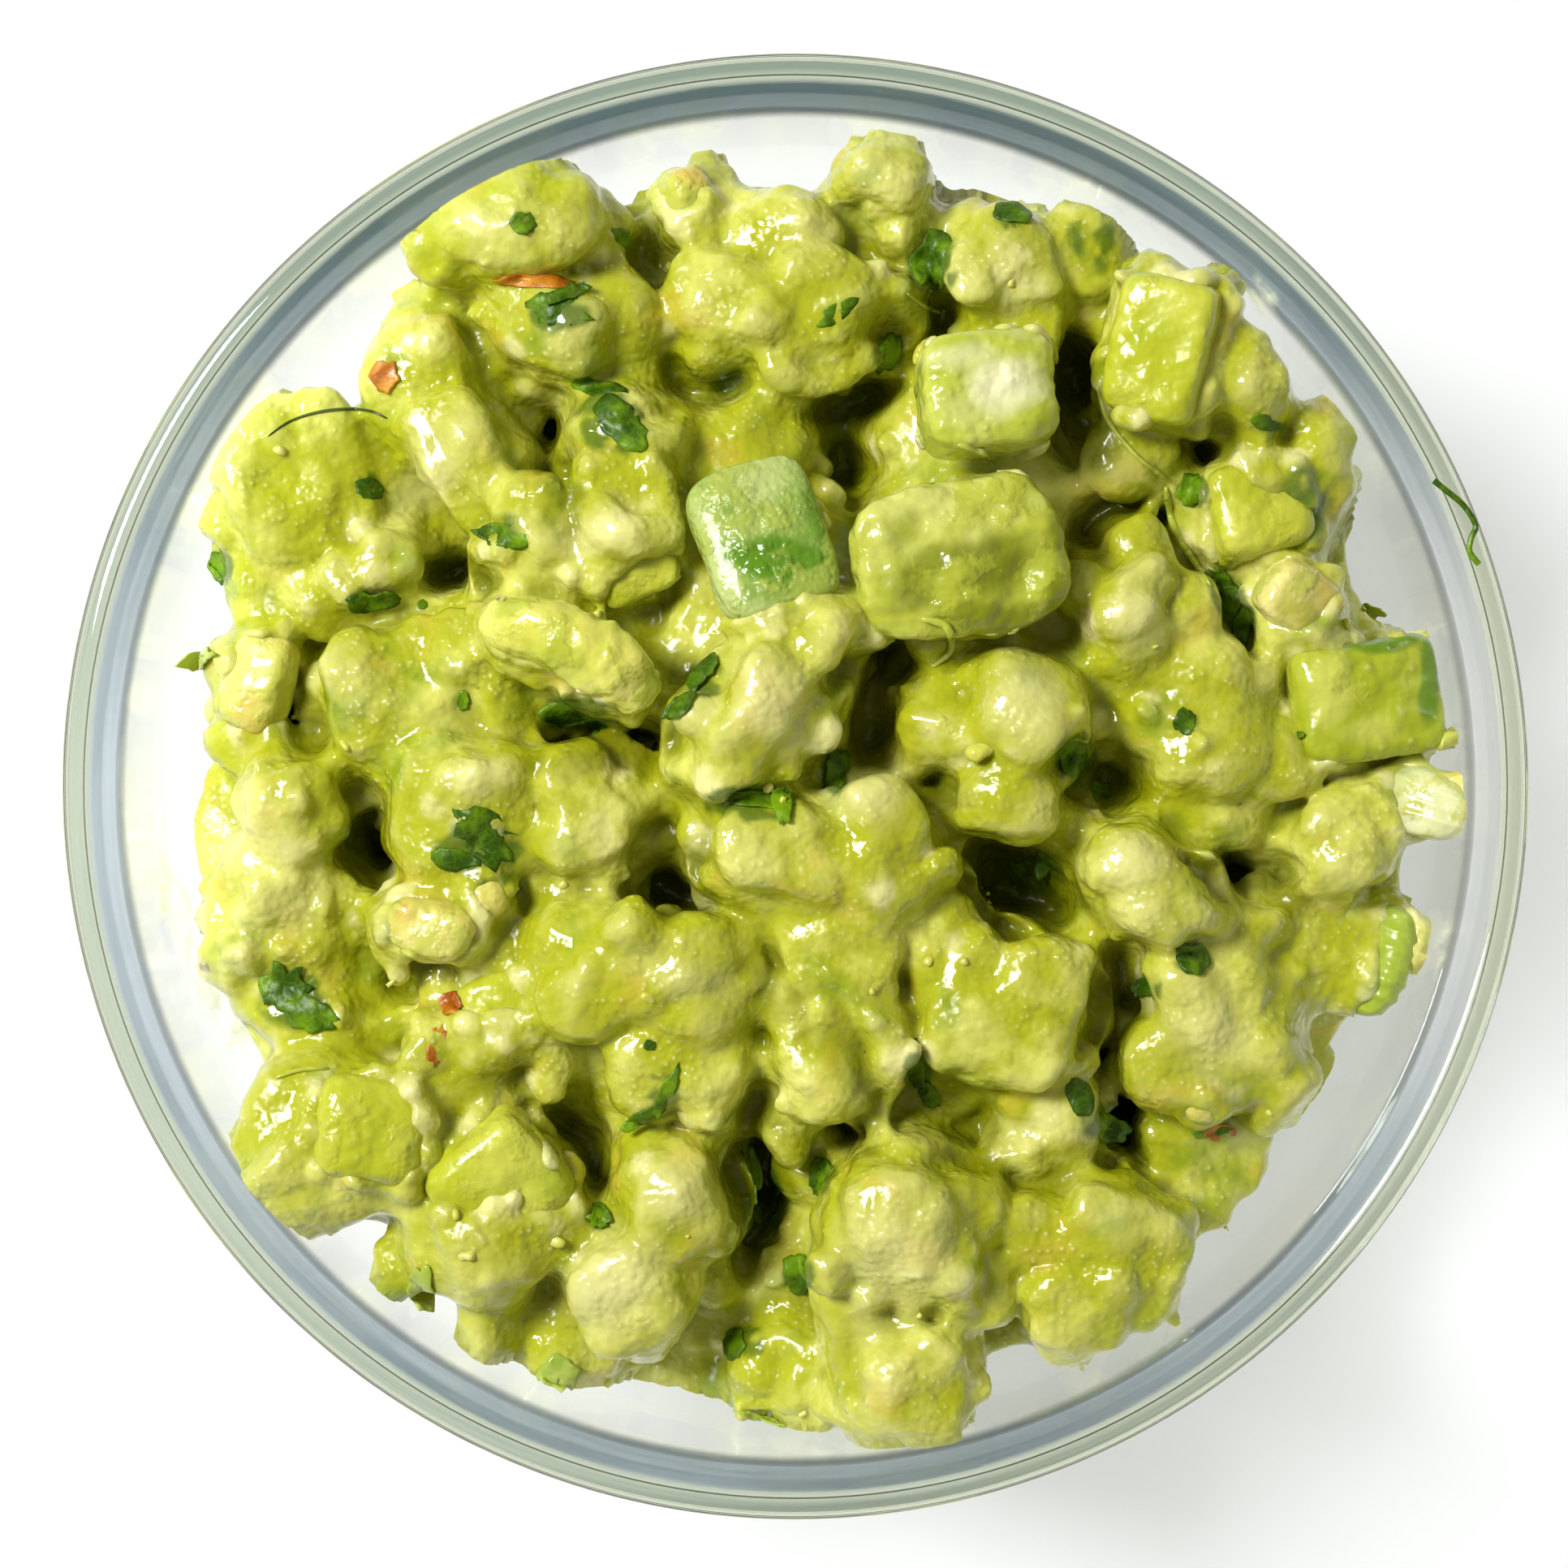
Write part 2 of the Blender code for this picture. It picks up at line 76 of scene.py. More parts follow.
@dataclass(frozen=True)
class PhotoFrame:
    """How the photograph looks down on the bowl, and where its pixels lie."""

    side_px: float = 1932.0
    rim_centre_px: tuple[float, float] = (980.0, 969.0)
    rim_across_px: float = 1806.0
    lens_mm: float = 100.0
    sensor_mm: float = 36.0
    rim_radius: float = 60.0 * MM
    rim_height: float = 48.4 * MM

    def pixel(self) -> float:
        """Returns the size of a pixel at the rim's height."""
        return 2 * self.rim_radius / self.rim_across_px

    def distance(self) -> float:
        """Returns the camera's height over the rim."""
        return self.side_px * self.pixel() * self.lens_mm / self.sensor_mm

    def camera_place(self) -> Vector:
        """Returns the camera's place: straight over the middle of the picture."""
        middle = self.side_px / 2
        return Vector((
            (middle - self.rim_centre_px[0]) * self.pixel(),
            (self.rim_centre_px[1] - middle) * self.pixel(),
            self.rim_height + self.distance(),
        ))

    def place(self, column: float, row: float, height: float) -> Vector:
        """Finds the point at a height that a pixel shows.

        Args:
            column: Pixels from the left.
            row: Pixels from the top.
            height: Height over the resting face.

        Returns:
            The point in the row frame.
        """
        eye = self.camera_place()
        reach = (eye.z - height) / self.distance()
        middle = self.side_px / 2
        across = (column - middle) * self.pixel() * reach
        along = (middle - row) * self.pixel() * reach
        return Vector((eye.x + across, eye.y + along, height))

    def pixels(self, points: np.ndarray) -> tuple[np.ndarray, np.ndarray]:
        """Finds the pixels that show points.

        Args:
            points: Places, one row each.

        Returns:
            The columns and the rows.
        """
        eye = self.camera_place()
        reach = (eye.z - points[:, 2]) / self.distance() * self.pixel()
        middle = self.side_px / 2
        return middle + (points[:, 0] - eye.x) / reach, middle - (points[:, 1] - eye.y) / reach


PHOTO = PhotoFrame()


@dataclass(frozen=True)
class Mark:
    """An oval on the photograph, with a strength that fades towards its edge."""

    column: float
    row: float
    width: float
    height: float
    turn: float = 0.0
    strength: float = 1.0

    def share(self, columns: np.ndarray, rows: np.ndarray) -> np.ndarray:
        """Returns how far each pixel lies in the mark, times its strength.

        Args:
            columns: Pixels from the left.
            rows: Pixels from the top.

        Returns:
            The strength in the middle, falling to 0 at the edge.
        """
        angle = math.radians(self.turn)
        across, down = columns - self.column, rows - self.row
        along = (across * math.cos(angle) + down * math.sin(angle)) / (self.width / 2)
        aside = (down * math.cos(angle) - across * math.sin(angle)) / (self.height / 2)
        return self.strength * np.clip(1.0 - along ** 2 - aside ** 2, 0.0, 1.0)


def marked(marks: tuple[Mark, ...], points: np.ndarray, ragged: float = 0.0) -> np.ndarray:
    """Finds the strongest share of any mark at each point.

    Args:
        marks: The marks.
        points: Places, one row each.
        ragged: How many pixels the marks' edges wander.

    Returns:
        The share at each point.
    """
    columns, rows = PHOTO.pixels(points)
    if ragged:
        columns = columns + ragged * noise_over(points, 4.0 * MM, 71.0)
        rows = rows + ragged * noise_over(points, 4.0 * MM, 83.0)
    strongest = np.zeros(len(points))
    for mark in marks:
        strongest = np.maximum(strongest, mark.share(columns, rows))
    return strongest


# Shader node helpers


class NodeSheet:
    """Places and links shader nodes in one node tree."""

    def __init__(self, tree: bpy.types.NodeTree) -> None:
        """Keeps the tree that nodes go into."""
        self.tree = tree

    def add(self, kind: str, settings: dict | None = None, **inputs: object) -> bpy.types.Node:
        """Adds a node, sets its properties and fills or links its inputs.

        Args:
            kind: The node's type name without the ShaderNode prefix.
            settings: Properties of the node itself.
            **inputs: Values or sockets by input name, with spaces as underscores.

        Returns:
            The new node.
        """
        node = self.tree.nodes.new("ShaderNode" + kind)
        for name, value in (settings or {}).items():
            setattr(node, name, value)
        for name, value in inputs.items():
            self.fill(node.inputs[name.replace("_", " ")], value)
        return node

    def fill(self, socket: bpy.types.NodeSocket, value: object) -> None:
        """Links a socket to another one, or sets its value."""
        if isinstance(value, bpy.types.NodeSocket):
            self.tree.links.new(value, socket)
        else:
            socket.default_value = value

    def math(self, operation: str, first: object, second: object = 0.0) -> bpy.types.NodeSocket:
        """Adds a Math node and returns its value."""
        node = self.add("Math", {"operation": operation})
        self.fill(node.inputs[0], first)
        self.fill(node.inputs[1], second)
        return node.outputs[0]

    def step(self, value: object, low: float, high: float) -> bpy.types.NodeSocket:
        """Returns a smooth step of a value between two limits."""
        node = self.add("MapRange", {"interpolation_type": "SMOOTHSTEP"}, Value=value)
        node.inputs["From Min"].default_value = low
        node.inputs["From Max"].default_value = high
        return node.outputs["Result"]

    def mix(self, share: object, first: object, second: object) -> bpy.types.NodeSocket:
        """Mixes two colours and returns the result."""
        node = self.add("Mix", {"data_type": "RGBA"})
        self.fill(node.inputs[0], share)
        self.fill(node.inputs[6], first)
        self.fill(node.inputs[7], second)
        return node.outputs[2]

    def noise(
        self, place: object, scale: float, detail: float = 3.0, rough: float = 0.55,
    ) -> bpy.types.NodeSocket:
        """Returns a noise value over a place."""
        node = self.add("TexNoise", Vector=place, Scale=scale, Detail=detail, Roughness=rough)
        return node.outputs["Fac"]


def new_group(
    name: str, inputs: dict[str, float], outputs: dict[str, str],
) -> tuple[bpy.types.NodeTree, NodeSheet]:
    """Makes an empty shader node group.

    Args:
        name: The group's name.
        inputs: Number inputs with their defaults.
        outputs: Outputs with their socket kinds, Float or Color.

    Returns:
        The group's tree and a sheet to fill it with.
    """
    tree = bpy.data.node_groups.new(name, "ShaderNodeTree")
    for title, value in inputs.items():
        socket = tree.interface.new_socket(title, in_out="INPUT", socket_type="NodeSocketFloat")
        socket.default_value = value
    for title, kind in outputs.items():
        tree.interface.new_socket(title, in_out="OUTPUT", socket_type="NodeSocket" + kind)
    return tree, NodeSheet(tree)


def mottle_group() -> bpy.types.NodeTree:
    """Builds the group for crushed fruit: its pale and green places, its pale curds with a painted highlight
    on their tops, its grain and its smears of mash.
    """
    name = "crushed fruit mottle"
    if name in bpy.data.node_groups:
        return bpy.data.node_groups[name]
    outputs = {title: "Float" for title in ("Pale", "Green", "Curd and highlight", "Grain", "Smear", "Ripe")}
    tree, sheet = new_group(name, {"Size": 1.0, "Smear": 0.0}, outputs)
    given = sheet.tree.nodes.new("NodeGroupInput")
    result = sheet.tree.nodes.new("NodeGroupOutput")
    where = sheet.add("TexCoord").outputs["Object"]
    scale = given.outputs["Size"]
    sized = sheet.add("VectorMath", {"operation": "SCALE"}, Vector=where, Scale=scale).outputs[0]
    broad = sheet.noise(sized, 95.0, 3.0)
    fine = sheet.noise(sized, 420.0, 4.0, 0.6)
    patch = sheet.math("ADD", sheet.math("MULTIPLY", broad, 0.7), sheet.math("MULTIPLY", fine, 0.3))
    sheet.fill(result.inputs["Pale"], sheet.step(patch, 0.47, 0.66))
    moved = sheet.add("VectorMath", {"operation": "ADD"}, Vector=sized)
    moved.inputs[1].default_value = (3.1, 1.7, 0.4)
    leafy = sheet.noise(moved.outputs[0], 130.0, 3.0)
    sheet.fill(result.inputs["Green"], sheet.step(leafy, 0.55, 0.72))
    ripe = sheet.noise(moved.outputs[0], 170.0, 3.0, 0.6)
    sheet.fill(result.inputs["Ripe"], sheet.step(ripe, 0.57, 0.7))
    coarse = sheet.noise(sized, 560.0, 3.0, 0.55)
    rounded = {"feature": "SMOOTH_F1"}
    cells = sheet.add("TexVoronoi", rounded, Vector=moved.outputs[0], Scale=1250.0, Smoothness=0.5)
    curd = sheet.math("SUBTRACT", 1.0, cells.outputs["Distance"])
    rough = sheet.step(sheet.noise(moved.outputs[0], 210.0, 3.0), 0.4, 0.62)
    # Pale curd tops: partly pale curd, partly a painted highlight.
    sheet.fill(result.inputs["Curd and highlight"], sheet.math("MULTIPLY", sheet.step(curd, 0.72, 0.9), rough))
    curd = sheet.math("MULTIPLY", curd, sheet.math("ADD", 0.25, sheet.math("MULTIPLY", rough, 0.75)))
    sheet.fill(result.inputs["Grain"], sheet.math("ADD", sheet.math("MULTIPLY", coarse, 0.6), curd))
    streaks = sheet.math("ADD", sheet.noise(where, 190.0, 4.0, 0.6), sheet.math("MULTIPLY", fine, 0.25))
    raised = sheet.math("ADD", streaks, sheet.math("MULTIPLY", given.outputs["Smear"], 0.5))
    sheet.fill(result.inputs["Smear"], sheet.step(raised, 0.84, 0.94))
    return tree


def juice_group() -> bpy.types.NodeTree:
    """Builds the group for a wet skin: how rough it is and how its film ripples."""
    name = "wet juice film"
    if name in bpy.data.node_groups:
        return bpy.data.node_groups[name]
    tree, sheet = new_group(name, {"Dry": 0.45, "Wet": 0.12}, {"Roughness": "Float", "Ripple": "Float"})
    given = sheet.tree.nodes.new("NodeGroupInput")
    result = sheet.tree.nodes.new("NodeGroupOutput")
    where = sheet.add("TexCoord").outputs["Object"]
    pools = sheet.step(sheet.noise(where, 240.0, 2.0), 0.4, 0.62)
    span = sheet.math("SUBTRACT", given.outputs["Wet"], given.outputs["Dry"])
    wetter = sheet.math("MULTIPLY", pools, span)
    sheet.fill(result.inputs["Roughness"], sheet.math("ADD", given.outputs["Dry"], wetter))
    sheet.fill(result.inputs["Ripple"], sheet.noise(where, 520.0, 2.0, 0.45))
    return tree


def new_material(name: str) -> tuple[bpy.types.Material, NodeSheet, bpy.types.Node]:
    """Makes a node material and returns it with a sheet for its nodes and its shader."""
    made = bpy.data.materials.new(name)
    made.use_nodes = True
    return made, NodeSheet(made.node_tree), made.node_tree.nodes["Principled BSDF"]


@dataclass(frozen=True)
class FruitFinish:
    """A wet fruit or mash finish, from its colours to its gloss."""

    name: str
    middle: tuple
    pale: tuple
    green: tuple
    mottle_size: float = 1.0
    pale_curd_and_highlight: float = 0.35
    green_share: float = 0.6
    pale_share: float = 1.0
    dry: float = 0.42
    wet: float = 0.16
    grain_depth: float = 0.35 * MM
    ripple_depth: float = 0.35 * MM
    coat: float = 0.5
    softness: float = 0.18
    soft_scale: float = 2.0 * MM
    smear: float = 0.0
    smeared: tuple = srgb(188, 190, 70)
    ripe: tuple = srgb(206, 178, 66)
    ripe_share: float = 0.0
    # The next two colours paint light on a piece's lit faces, partly the flesh's own paleness, and shade on
    # its shaded faces.
    pale_and_lit_face: tuple = srgb(238, 234, 190)
    painted_shade_face: tuple = srgb(96, 128, 14)

    def material(self) -> bpy.types.Material:
        """Builds the material once and returns it."""
        if self.name in bpy.data.materials:
            return bpy.data.materials[self.name]
        made, sheet, shader = new_material(self.name)
        mottle = sheet.add("Group", {"node_tree": mottle_group()})
        mottle.inputs["Size"].default_value = self.mottle_size
        mottle.inputs["Smear"].default_value = self.smear
        juice = sheet.add("Group", {"node_tree": juice_group()})
        juice.inputs["Dry"].default_value = self.dry
        juice.inputs["Wet"].default_value = self.wet
        sheet.fill(shader.inputs["Base Color"], self.colour(sheet, mottle))
        sheet.fill(shader.inputs["Roughness"], juice.outputs["Roughness"])
        bump = sheet.add("Bump", Height=mottle.outputs["Grain"], Strength=1.0, Distance=self.grain_depth)
        coat = sheet.add("Bump", Height=mottle.outputs["Smear"], Strength=1.0, Distance=0.1 * MM)
        sheet.fill(coat.inputs["Normal"], bump.outputs["Normal"])
        ripple = sheet.add("Bump", Height=juice.outputs["Ripple"], Strength=1.0, Distance=self.ripple_depth)
        sheet.fill(ripple.inputs["Normal"], coat.outputs["Normal"])
        sheet.fill(shader.inputs["Normal"], ripple.outputs["Normal"])
        shader.inputs["Coat Weight"].default_value = self.coat
        shader.inputs["Coat Roughness"].default_value = 0.06
        shader.inputs["Subsurface Weight"].default_value = self.softness
        shader.inputs["Subsurface Radius"].default_value = (1.0, 0.8, 0.2)
        shader.inputs["Subsurface Scale"].default_value = self.soft_scale
        shader.inputs["IOR"].default_value = 1.42
        return made

    def colour(self, sheet: NodeSheet, mottle: bpy.types.Node) -> bpy.types.NodeSocket:
        """Mixes the finish's colours by the mottle's masks, and paints light and shade on the faces that the
        face attribute marks.
        """
        pale = sheet.math("MULTIPLY", mottle.outputs["Pale"], self.pale_share)
        colour = sheet.mix(pale, self.middle, self.pale)
        green = sheet.math("MULTIPLY", mottle.outputs["Green"], self.green_share)
        colour = sheet.mix(green, colour, self.green)
        ripe = sheet.math("MULTIPLY", mottle.outputs["Ripe"], self.ripe_share)
        colour = sheet.mix(ripe, colour, self.ripe)
        # Creamy colour on the curd tops, partly pale curd and partly a painted highlight.
        pale_curd_and_highlight = sheet.math("MULTIPLY", mottle.outputs["Curd and highlight"], self.pale_curd_and_highlight)
        colour = sheet.mix(pale_curd_and_highlight, colour, srgb(236, 232, 160))
        # The face attribute marks painted light on lit faces and painted shade on shaded faces.
        face = sheet.add("Attribute", {"attribute_name": "face"}).outputs["Fac"]
        light = sheet.step(face, 0.05, 0.8)
        colour = sheet.mix(sheet.math("MULTIPLY", light, 0.85), colour, self.pale_and_lit_face)
        painted_shade = sheet.step(sheet.math("MULTIPLY", face, -1.0), 0.05, 0.8)
        colour = sheet.mix(sheet.math("MULTIPLY", painted_shade, 0.85), colour, self.painted_shade_face)
        return sheet.mix(sheet.math("MULTIPLY", mottle.outputs["Smear"], 0.8), colour, self.smeared)


@dataclass(frozen=True)
class MashFinish(FruitFinish):
    """The mash's finish, which also reads the masks that the heap notes on its surface."""

    # Painted shade for the hollows and the darkest gaps; the pale colour serves pale bits and also a painted
    # highlight on ridges.
    painted_shade: tuple = srgb(120, 123, 0)
    darkest_painted_shade: tuple = srgb(48, 58, 0)
    pale_bit_and_lit_ridge: tuple = srgb(238, 232, 168)
    stained: tuple = srgb(52, 92, 14)

    def colour(self, sheet: NodeSheet, mottle: bpy.types.Node) -> bpy.types.NodeSocket:
        """Mixes the mottled colour with the bits' paleness, painted shade in the hollows and gaps, a painted
        highlight on the ridges and the herbs' stains.
        """
        colour = FruitFinish.colour(self, sheet, mottle)
        paleness = sheet.add("Attribute", {"attribute_name": "paleness"}).outputs["Fac"]
        hollow = sheet.add("Attribute", {"attribute_name": "hollow"}).outputs["Fac"]
        stain = sheet.add("Attribute", {"attribute_name": "stain"}).outputs["Fac"]
        colour = sheet.mix(sheet.math("MULTIPLY", sheet.step(paleness, 0.0, 1.2), 0.7), colour, self.pale_bit_and_lit_ridge)
        greener = sheet.step(sheet.math("MULTIPLY", paleness, -1.0), 0.2, 0.8)
        colour = sheet.mix(sheet.math("MULTIPLY", greener, 0.45), colour, self.green)
        # Painted highlight on ridges, where the hollow mask falls below zero.
        colour = sheet.mix(sheet.math("MULTIPLY", sheet.step(hollow, -0.15, -0.9), 0.45), colour, self.pale_bit_and_lit_ridge)
        # Painted shade in the hollows.
        colour = sheet.mix(sheet.math("MULTIPLY", sheet.step(hollow, 0.05, 0.7), 0.85), colour, self.painted_shade)
        colour = sheet.mix(sheet.math("MULTIPLY", sheet.step(stain, 0.15, 0.9), 0.75), colour, self.stained)
        # Darkest painted shade in the deep gaps.
        return sheet.mix(sheet.math("MULTIPLY", sheet.step(hollow, 0.6, 1.5), 0.75), colour, self.darkest_painted_shade)

    def material(self) -> bpy.types.Material:
        """Builds the material, whose juice thins out in the hollows."""
        made = FruitFinish.material(self)
        sheet = NodeSheet(made.node_tree)
        hollow = sheet.add("Attribute", {"attribute_name": "hollow"}).outputs["Fac"]
        thinned = sheet.math("MULTIPLY", sheet.step(hollow, 0.0, 0.7), self.coat)
        film = sheet.math("SUBTRACT", self.coat, thinned)
        sheet.fill(made.node_tree.nodes["Principled BSDF"].inputs["Coat Weight"], film)
        return made


MASH = MashFinish(
    "mash", srgb(173, 177, 32), srgb(212, 212, 104), srgb(131, 152, 22),
    coat=0.45, grain_depth=0.17 * MM, ripple_depth=0.4 * MM, dry=0.32, wet=0.12,
    softness=0.28, soft_scale=2.8 * MM, pale_curd_and_highlight=0.5, green_share=0.8, ripe_share=0.42,
)
AVOCADO = FruitFinish(
    "avocado flesh", srgb(182, 188, 40), srgb(212, 212, 90), srgb(138, 166, 26),
    mottle_size=0.6, pale_curd_and_highlight=0.1, green_share=0.5, grain_depth=0.25 * MM, dry=0.36,
    smear=0.4, smeared=srgb(186, 188, 62),
)
TAN = FruitFinish(
    "ripe avocado crumb", srgb(214, 204, 104), srgb(234, 222, 150), srgb(180, 178, 50),
    mottle_size=1.0, green_share=0.8, pale_curd_and_highlight=0.1, smear=0.5, grain_depth=0.16 * MM, ripe=srgb(204, 162, 60),
    ripe_share=0.5, smeared=srgb(186, 192, 72),
)
YELLOW_FLESH = FruitFinish(
    "ripe yellow flesh", srgb(210, 208, 88), srgb(230, 226, 130), srgb(168, 180, 42),
    mottle_size=0.7, green_share=0.8, pale_curd_and_highlight=0.2, grain_depth=0.16 * MM, dry=0.34, smear=0.45,
    smeared=srgb(178, 186, 58),
)
CRUMB = FruitFinish(
    "pale crumb", srgb(206, 204, 84), srgb(230, 224, 140), srgb(184, 186, 48),
    mottle_size=1.6, green_share=0.3, grain_depth=0.1 * MM,
)
ONION = FruitFinish(
    "onion dice flesh", srgb(184, 192, 66), srgb(206, 210, 104), srgb(150, 168, 34),
    mottle_size=0.8, pale_curd_and_highlight=0.3, grain_depth=0.24 * MM, dry=0.26, wet=0.1, softness=0.3, soft_scale=3.0 * MM,
    smear=0.3, smeared=srgb(184, 190, 60), pale_and_lit_face=srgb(236, 234, 194), painted_shade_face=srgb(140, 150, 20),
)
ONION_LAYER = FruitFinish(
    "onion layer", srgb(176, 182, 58), srgb(208, 210, 112), srgb(140, 156, 28),
    mottle_size=0.8, pale_curd_and_highlight=0.15, grain_depth=0.16 * MM, dry=0.28, wet=0.1,
    softness=0.35, soft_scale=3.5 * MM, smear=0.4,
    smeared=srgb(178, 184, 60), pale_and_lit_face=srgb(212, 214, 122), painted_shade_face=srgb(118, 126, 2),
)
ONION_WHITE = FruitFinish(
    "onion edge", srgb(208, 212, 142), srgb(228, 228, 184), srgb(176, 190, 84),
    mottle_size=0.7, pale_curd_and_highlight=0.1, grain_depth=0.2 * MM, dry=0.3, wet=0.12,
    softness=0.4, soft_scale=4.0 * MM, smear=0.4,
)
PEPPER = FruitFinish(
    "green pepper", srgb(140, 166, 74), srgb(172, 188, 108), srgb(98, 144, 36),
    mottle_size=1.3, pale_curd_and_highlight=0.35, green_share=0.9, grain_depth=0.24 * MM, dry=0.36, wet=0.14,
    softness=0.15, smear=0.5, smeared=srgb(164, 178, 76),
    pale_and_lit_face=srgb(188, 200, 122), painted_shade_face=srgb(78, 128, 0), coat=0.25,
)
GREEN_FLESH = FruitFinish(
    "green flesh", srgb(162, 172, 34), srgb(188, 194, 66), srgb(120, 148, 22),
    mottle_size=0.6, pale_curd_and_highlight=0.3, grain_depth=0.25 * MM, dry=0.3, wet=0.12, smear=0.35,
    pale_and_lit_face=srgb(206, 208, 96), painted_shade_face=srgb(84, 124, 16),
)
SKIN = FruitFinish(
    "dark avocado skin", srgb(52, 60, 22), srgb(84, 96, 36), srgb(34, 48, 14),
    mottle_size=1.0, pale_curd_and_highlight=0.0, grain_depth=0.08 * MM, dry=0.34, softness=0.0,
)
LEAF_RIB = FruitFinish(
    "ribbed leaf", srgb(158, 176, 58), srgb(206, 214, 128), srgb(122, 154, 28),
    mottle_size=0.9, pale_curd_and_highlight=0.0, grain_depth=0.12 * MM, dry=0.34, wet=0.16, softness=0.1, coat=0.2,
)


@dataclass(frozen=True)
class HerbFinish:
    """Chopped herb leaf: dark, thin and wet, with paler veins."""

    name: str = "chopped herb"
    dark: tuple = srgb(48, 80, 2)
    light: tuple = srgb(112, 150, 12)

    def material(self) -> bpy.types.Material:
        """Builds the material once and returns it."""
        if self.name in bpy.data.materials:
            return bpy.data.materials[self.name]
        made, sheet, shader = new_material(self.name)
        where = sheet.add("TexCoord").outputs["Object"]
        patch = sheet.step(sheet.noise(where, 330.0, 3.0), 0.38, 0.7)
        edges = sheet.add("TexVoronoi", {"feature": "DISTANCE_TO_EDGE"}, Vector=where, Scale=900.0)
        veins = edges.outputs["Distance"]
        vein = sheet.math("MULTIPLY", sheet.math("SUBTRACT", 1.0, sheet.step(veins, 0.0, 0.12)), 0.12)
        colour = sheet.mix(patch, self.dark, self.light)
        sheet.fill(shader.inputs["Base Color"], sheet.mix(vein, colour, srgb(136, 170, 50)))
        bump = sheet.add("Bump", Height=veins, Strength=0.6, Distance=0.15 * MM)
        ripple = sheet.add("Bump", Height=sheet.noise(where, 700.0, 2.0), Strength=1.0, Distance=0.3 * MM)
        sheet.fill(ripple.inputs["Normal"], bump.outputs["Normal"])
        sheet.fill(shader.inputs["Normal"], ripple.outputs["Normal"])
        shader.inputs["Roughness"].default_value = 0.4
        shader.inputs["Coat Weight"].default_value = 0.05
        shader.inputs["Coat Roughness"].default_value = 0.1
        shader.inputs["Specular IOR Level"].default_value = 0.25
        return made


@dataclass(frozen=True)
class ChiliFinish:
    """Toasted chilli: orange-red with darker patches."""

    name: str = "chilli flake"

    def material(self) -> bpy.types.Material:
        """Builds the material once and returns it."""
        made, sheet, shader = new_material(self.name)
        where = sheet.add("TexCoord").outputs["Object"]
        patch = sheet.step(sheet.noise(where, 500.0, 3.0), 0.35, 0.65)
        sheet.fill(shader.inputs["Base Color"], sheet.mix(patch, srgb(160, 84, 10), srgb(204, 138, 30)))
        bump = sheet.add("Bump", Height=sheet.noise(where, 900.0, 2.0), Strength=1.0, Distance=0.2 * MM)
        sheet.fill(shader.inputs["Normal"], bump.outputs["Normal"])
        shader.inputs["Roughness"].default_value = 0.38
        shader.inputs["Coat Weight"].default_value = 0.1
        return made


@dataclass(frozen=True)
class FilmFinish:
    """A thin film of juice and mash on the glass, patchy and partly see-through, with a painted glow for
    light shining through it.
    """

    name: str = "mash film"
    thin: tuple = srgb(248, 249, 240)
    thick: tuple = srgb(234, 238, 200)

    def material(self) -> bpy.types.Material:
        """Builds the material and returns it."""
        made, sheet, shader = new_material(self.name)
        where = sheet.add("TexCoord").outputs["Object"]
        patch = sheet.step(sheet.noise(where, 300.0, 4.0, 0.6), 0.36, 0.68)
        colour = sheet.mix(patch, self.thin, self.thick)
        sheet.fill(shader.inputs["Base Color"], colour)
        # A painted glow in the film's own colour, standing in for light that shines through it.
        sheet.fill(shader.inputs["Emission Color"], colour)
        shader.inputs["Emission Strength"].default_value = 0.45
        inward = sheet.step(sheet.add("Attribute", {"attribute_name": "inward"}).outputs["Fac"], 0.0, 0.7)
        cover = sheet.math("ADD", 0.08, sheet.math("MULTIPLY", patch, 0.4))
        sheet.fill(shader.inputs["Alpha"], sheet.math("MULTIPLY", cover, inward))
        bump = sheet.add("Bump", Height=sheet.noise(where, 600.0, 2.0), Strength=1.0, Distance=0.2 * MM)
        sheet.fill(shader.inputs["Normal"], bump.outputs["Normal"])
        shader.inputs["Roughness"].default_value = 0.2
        return made


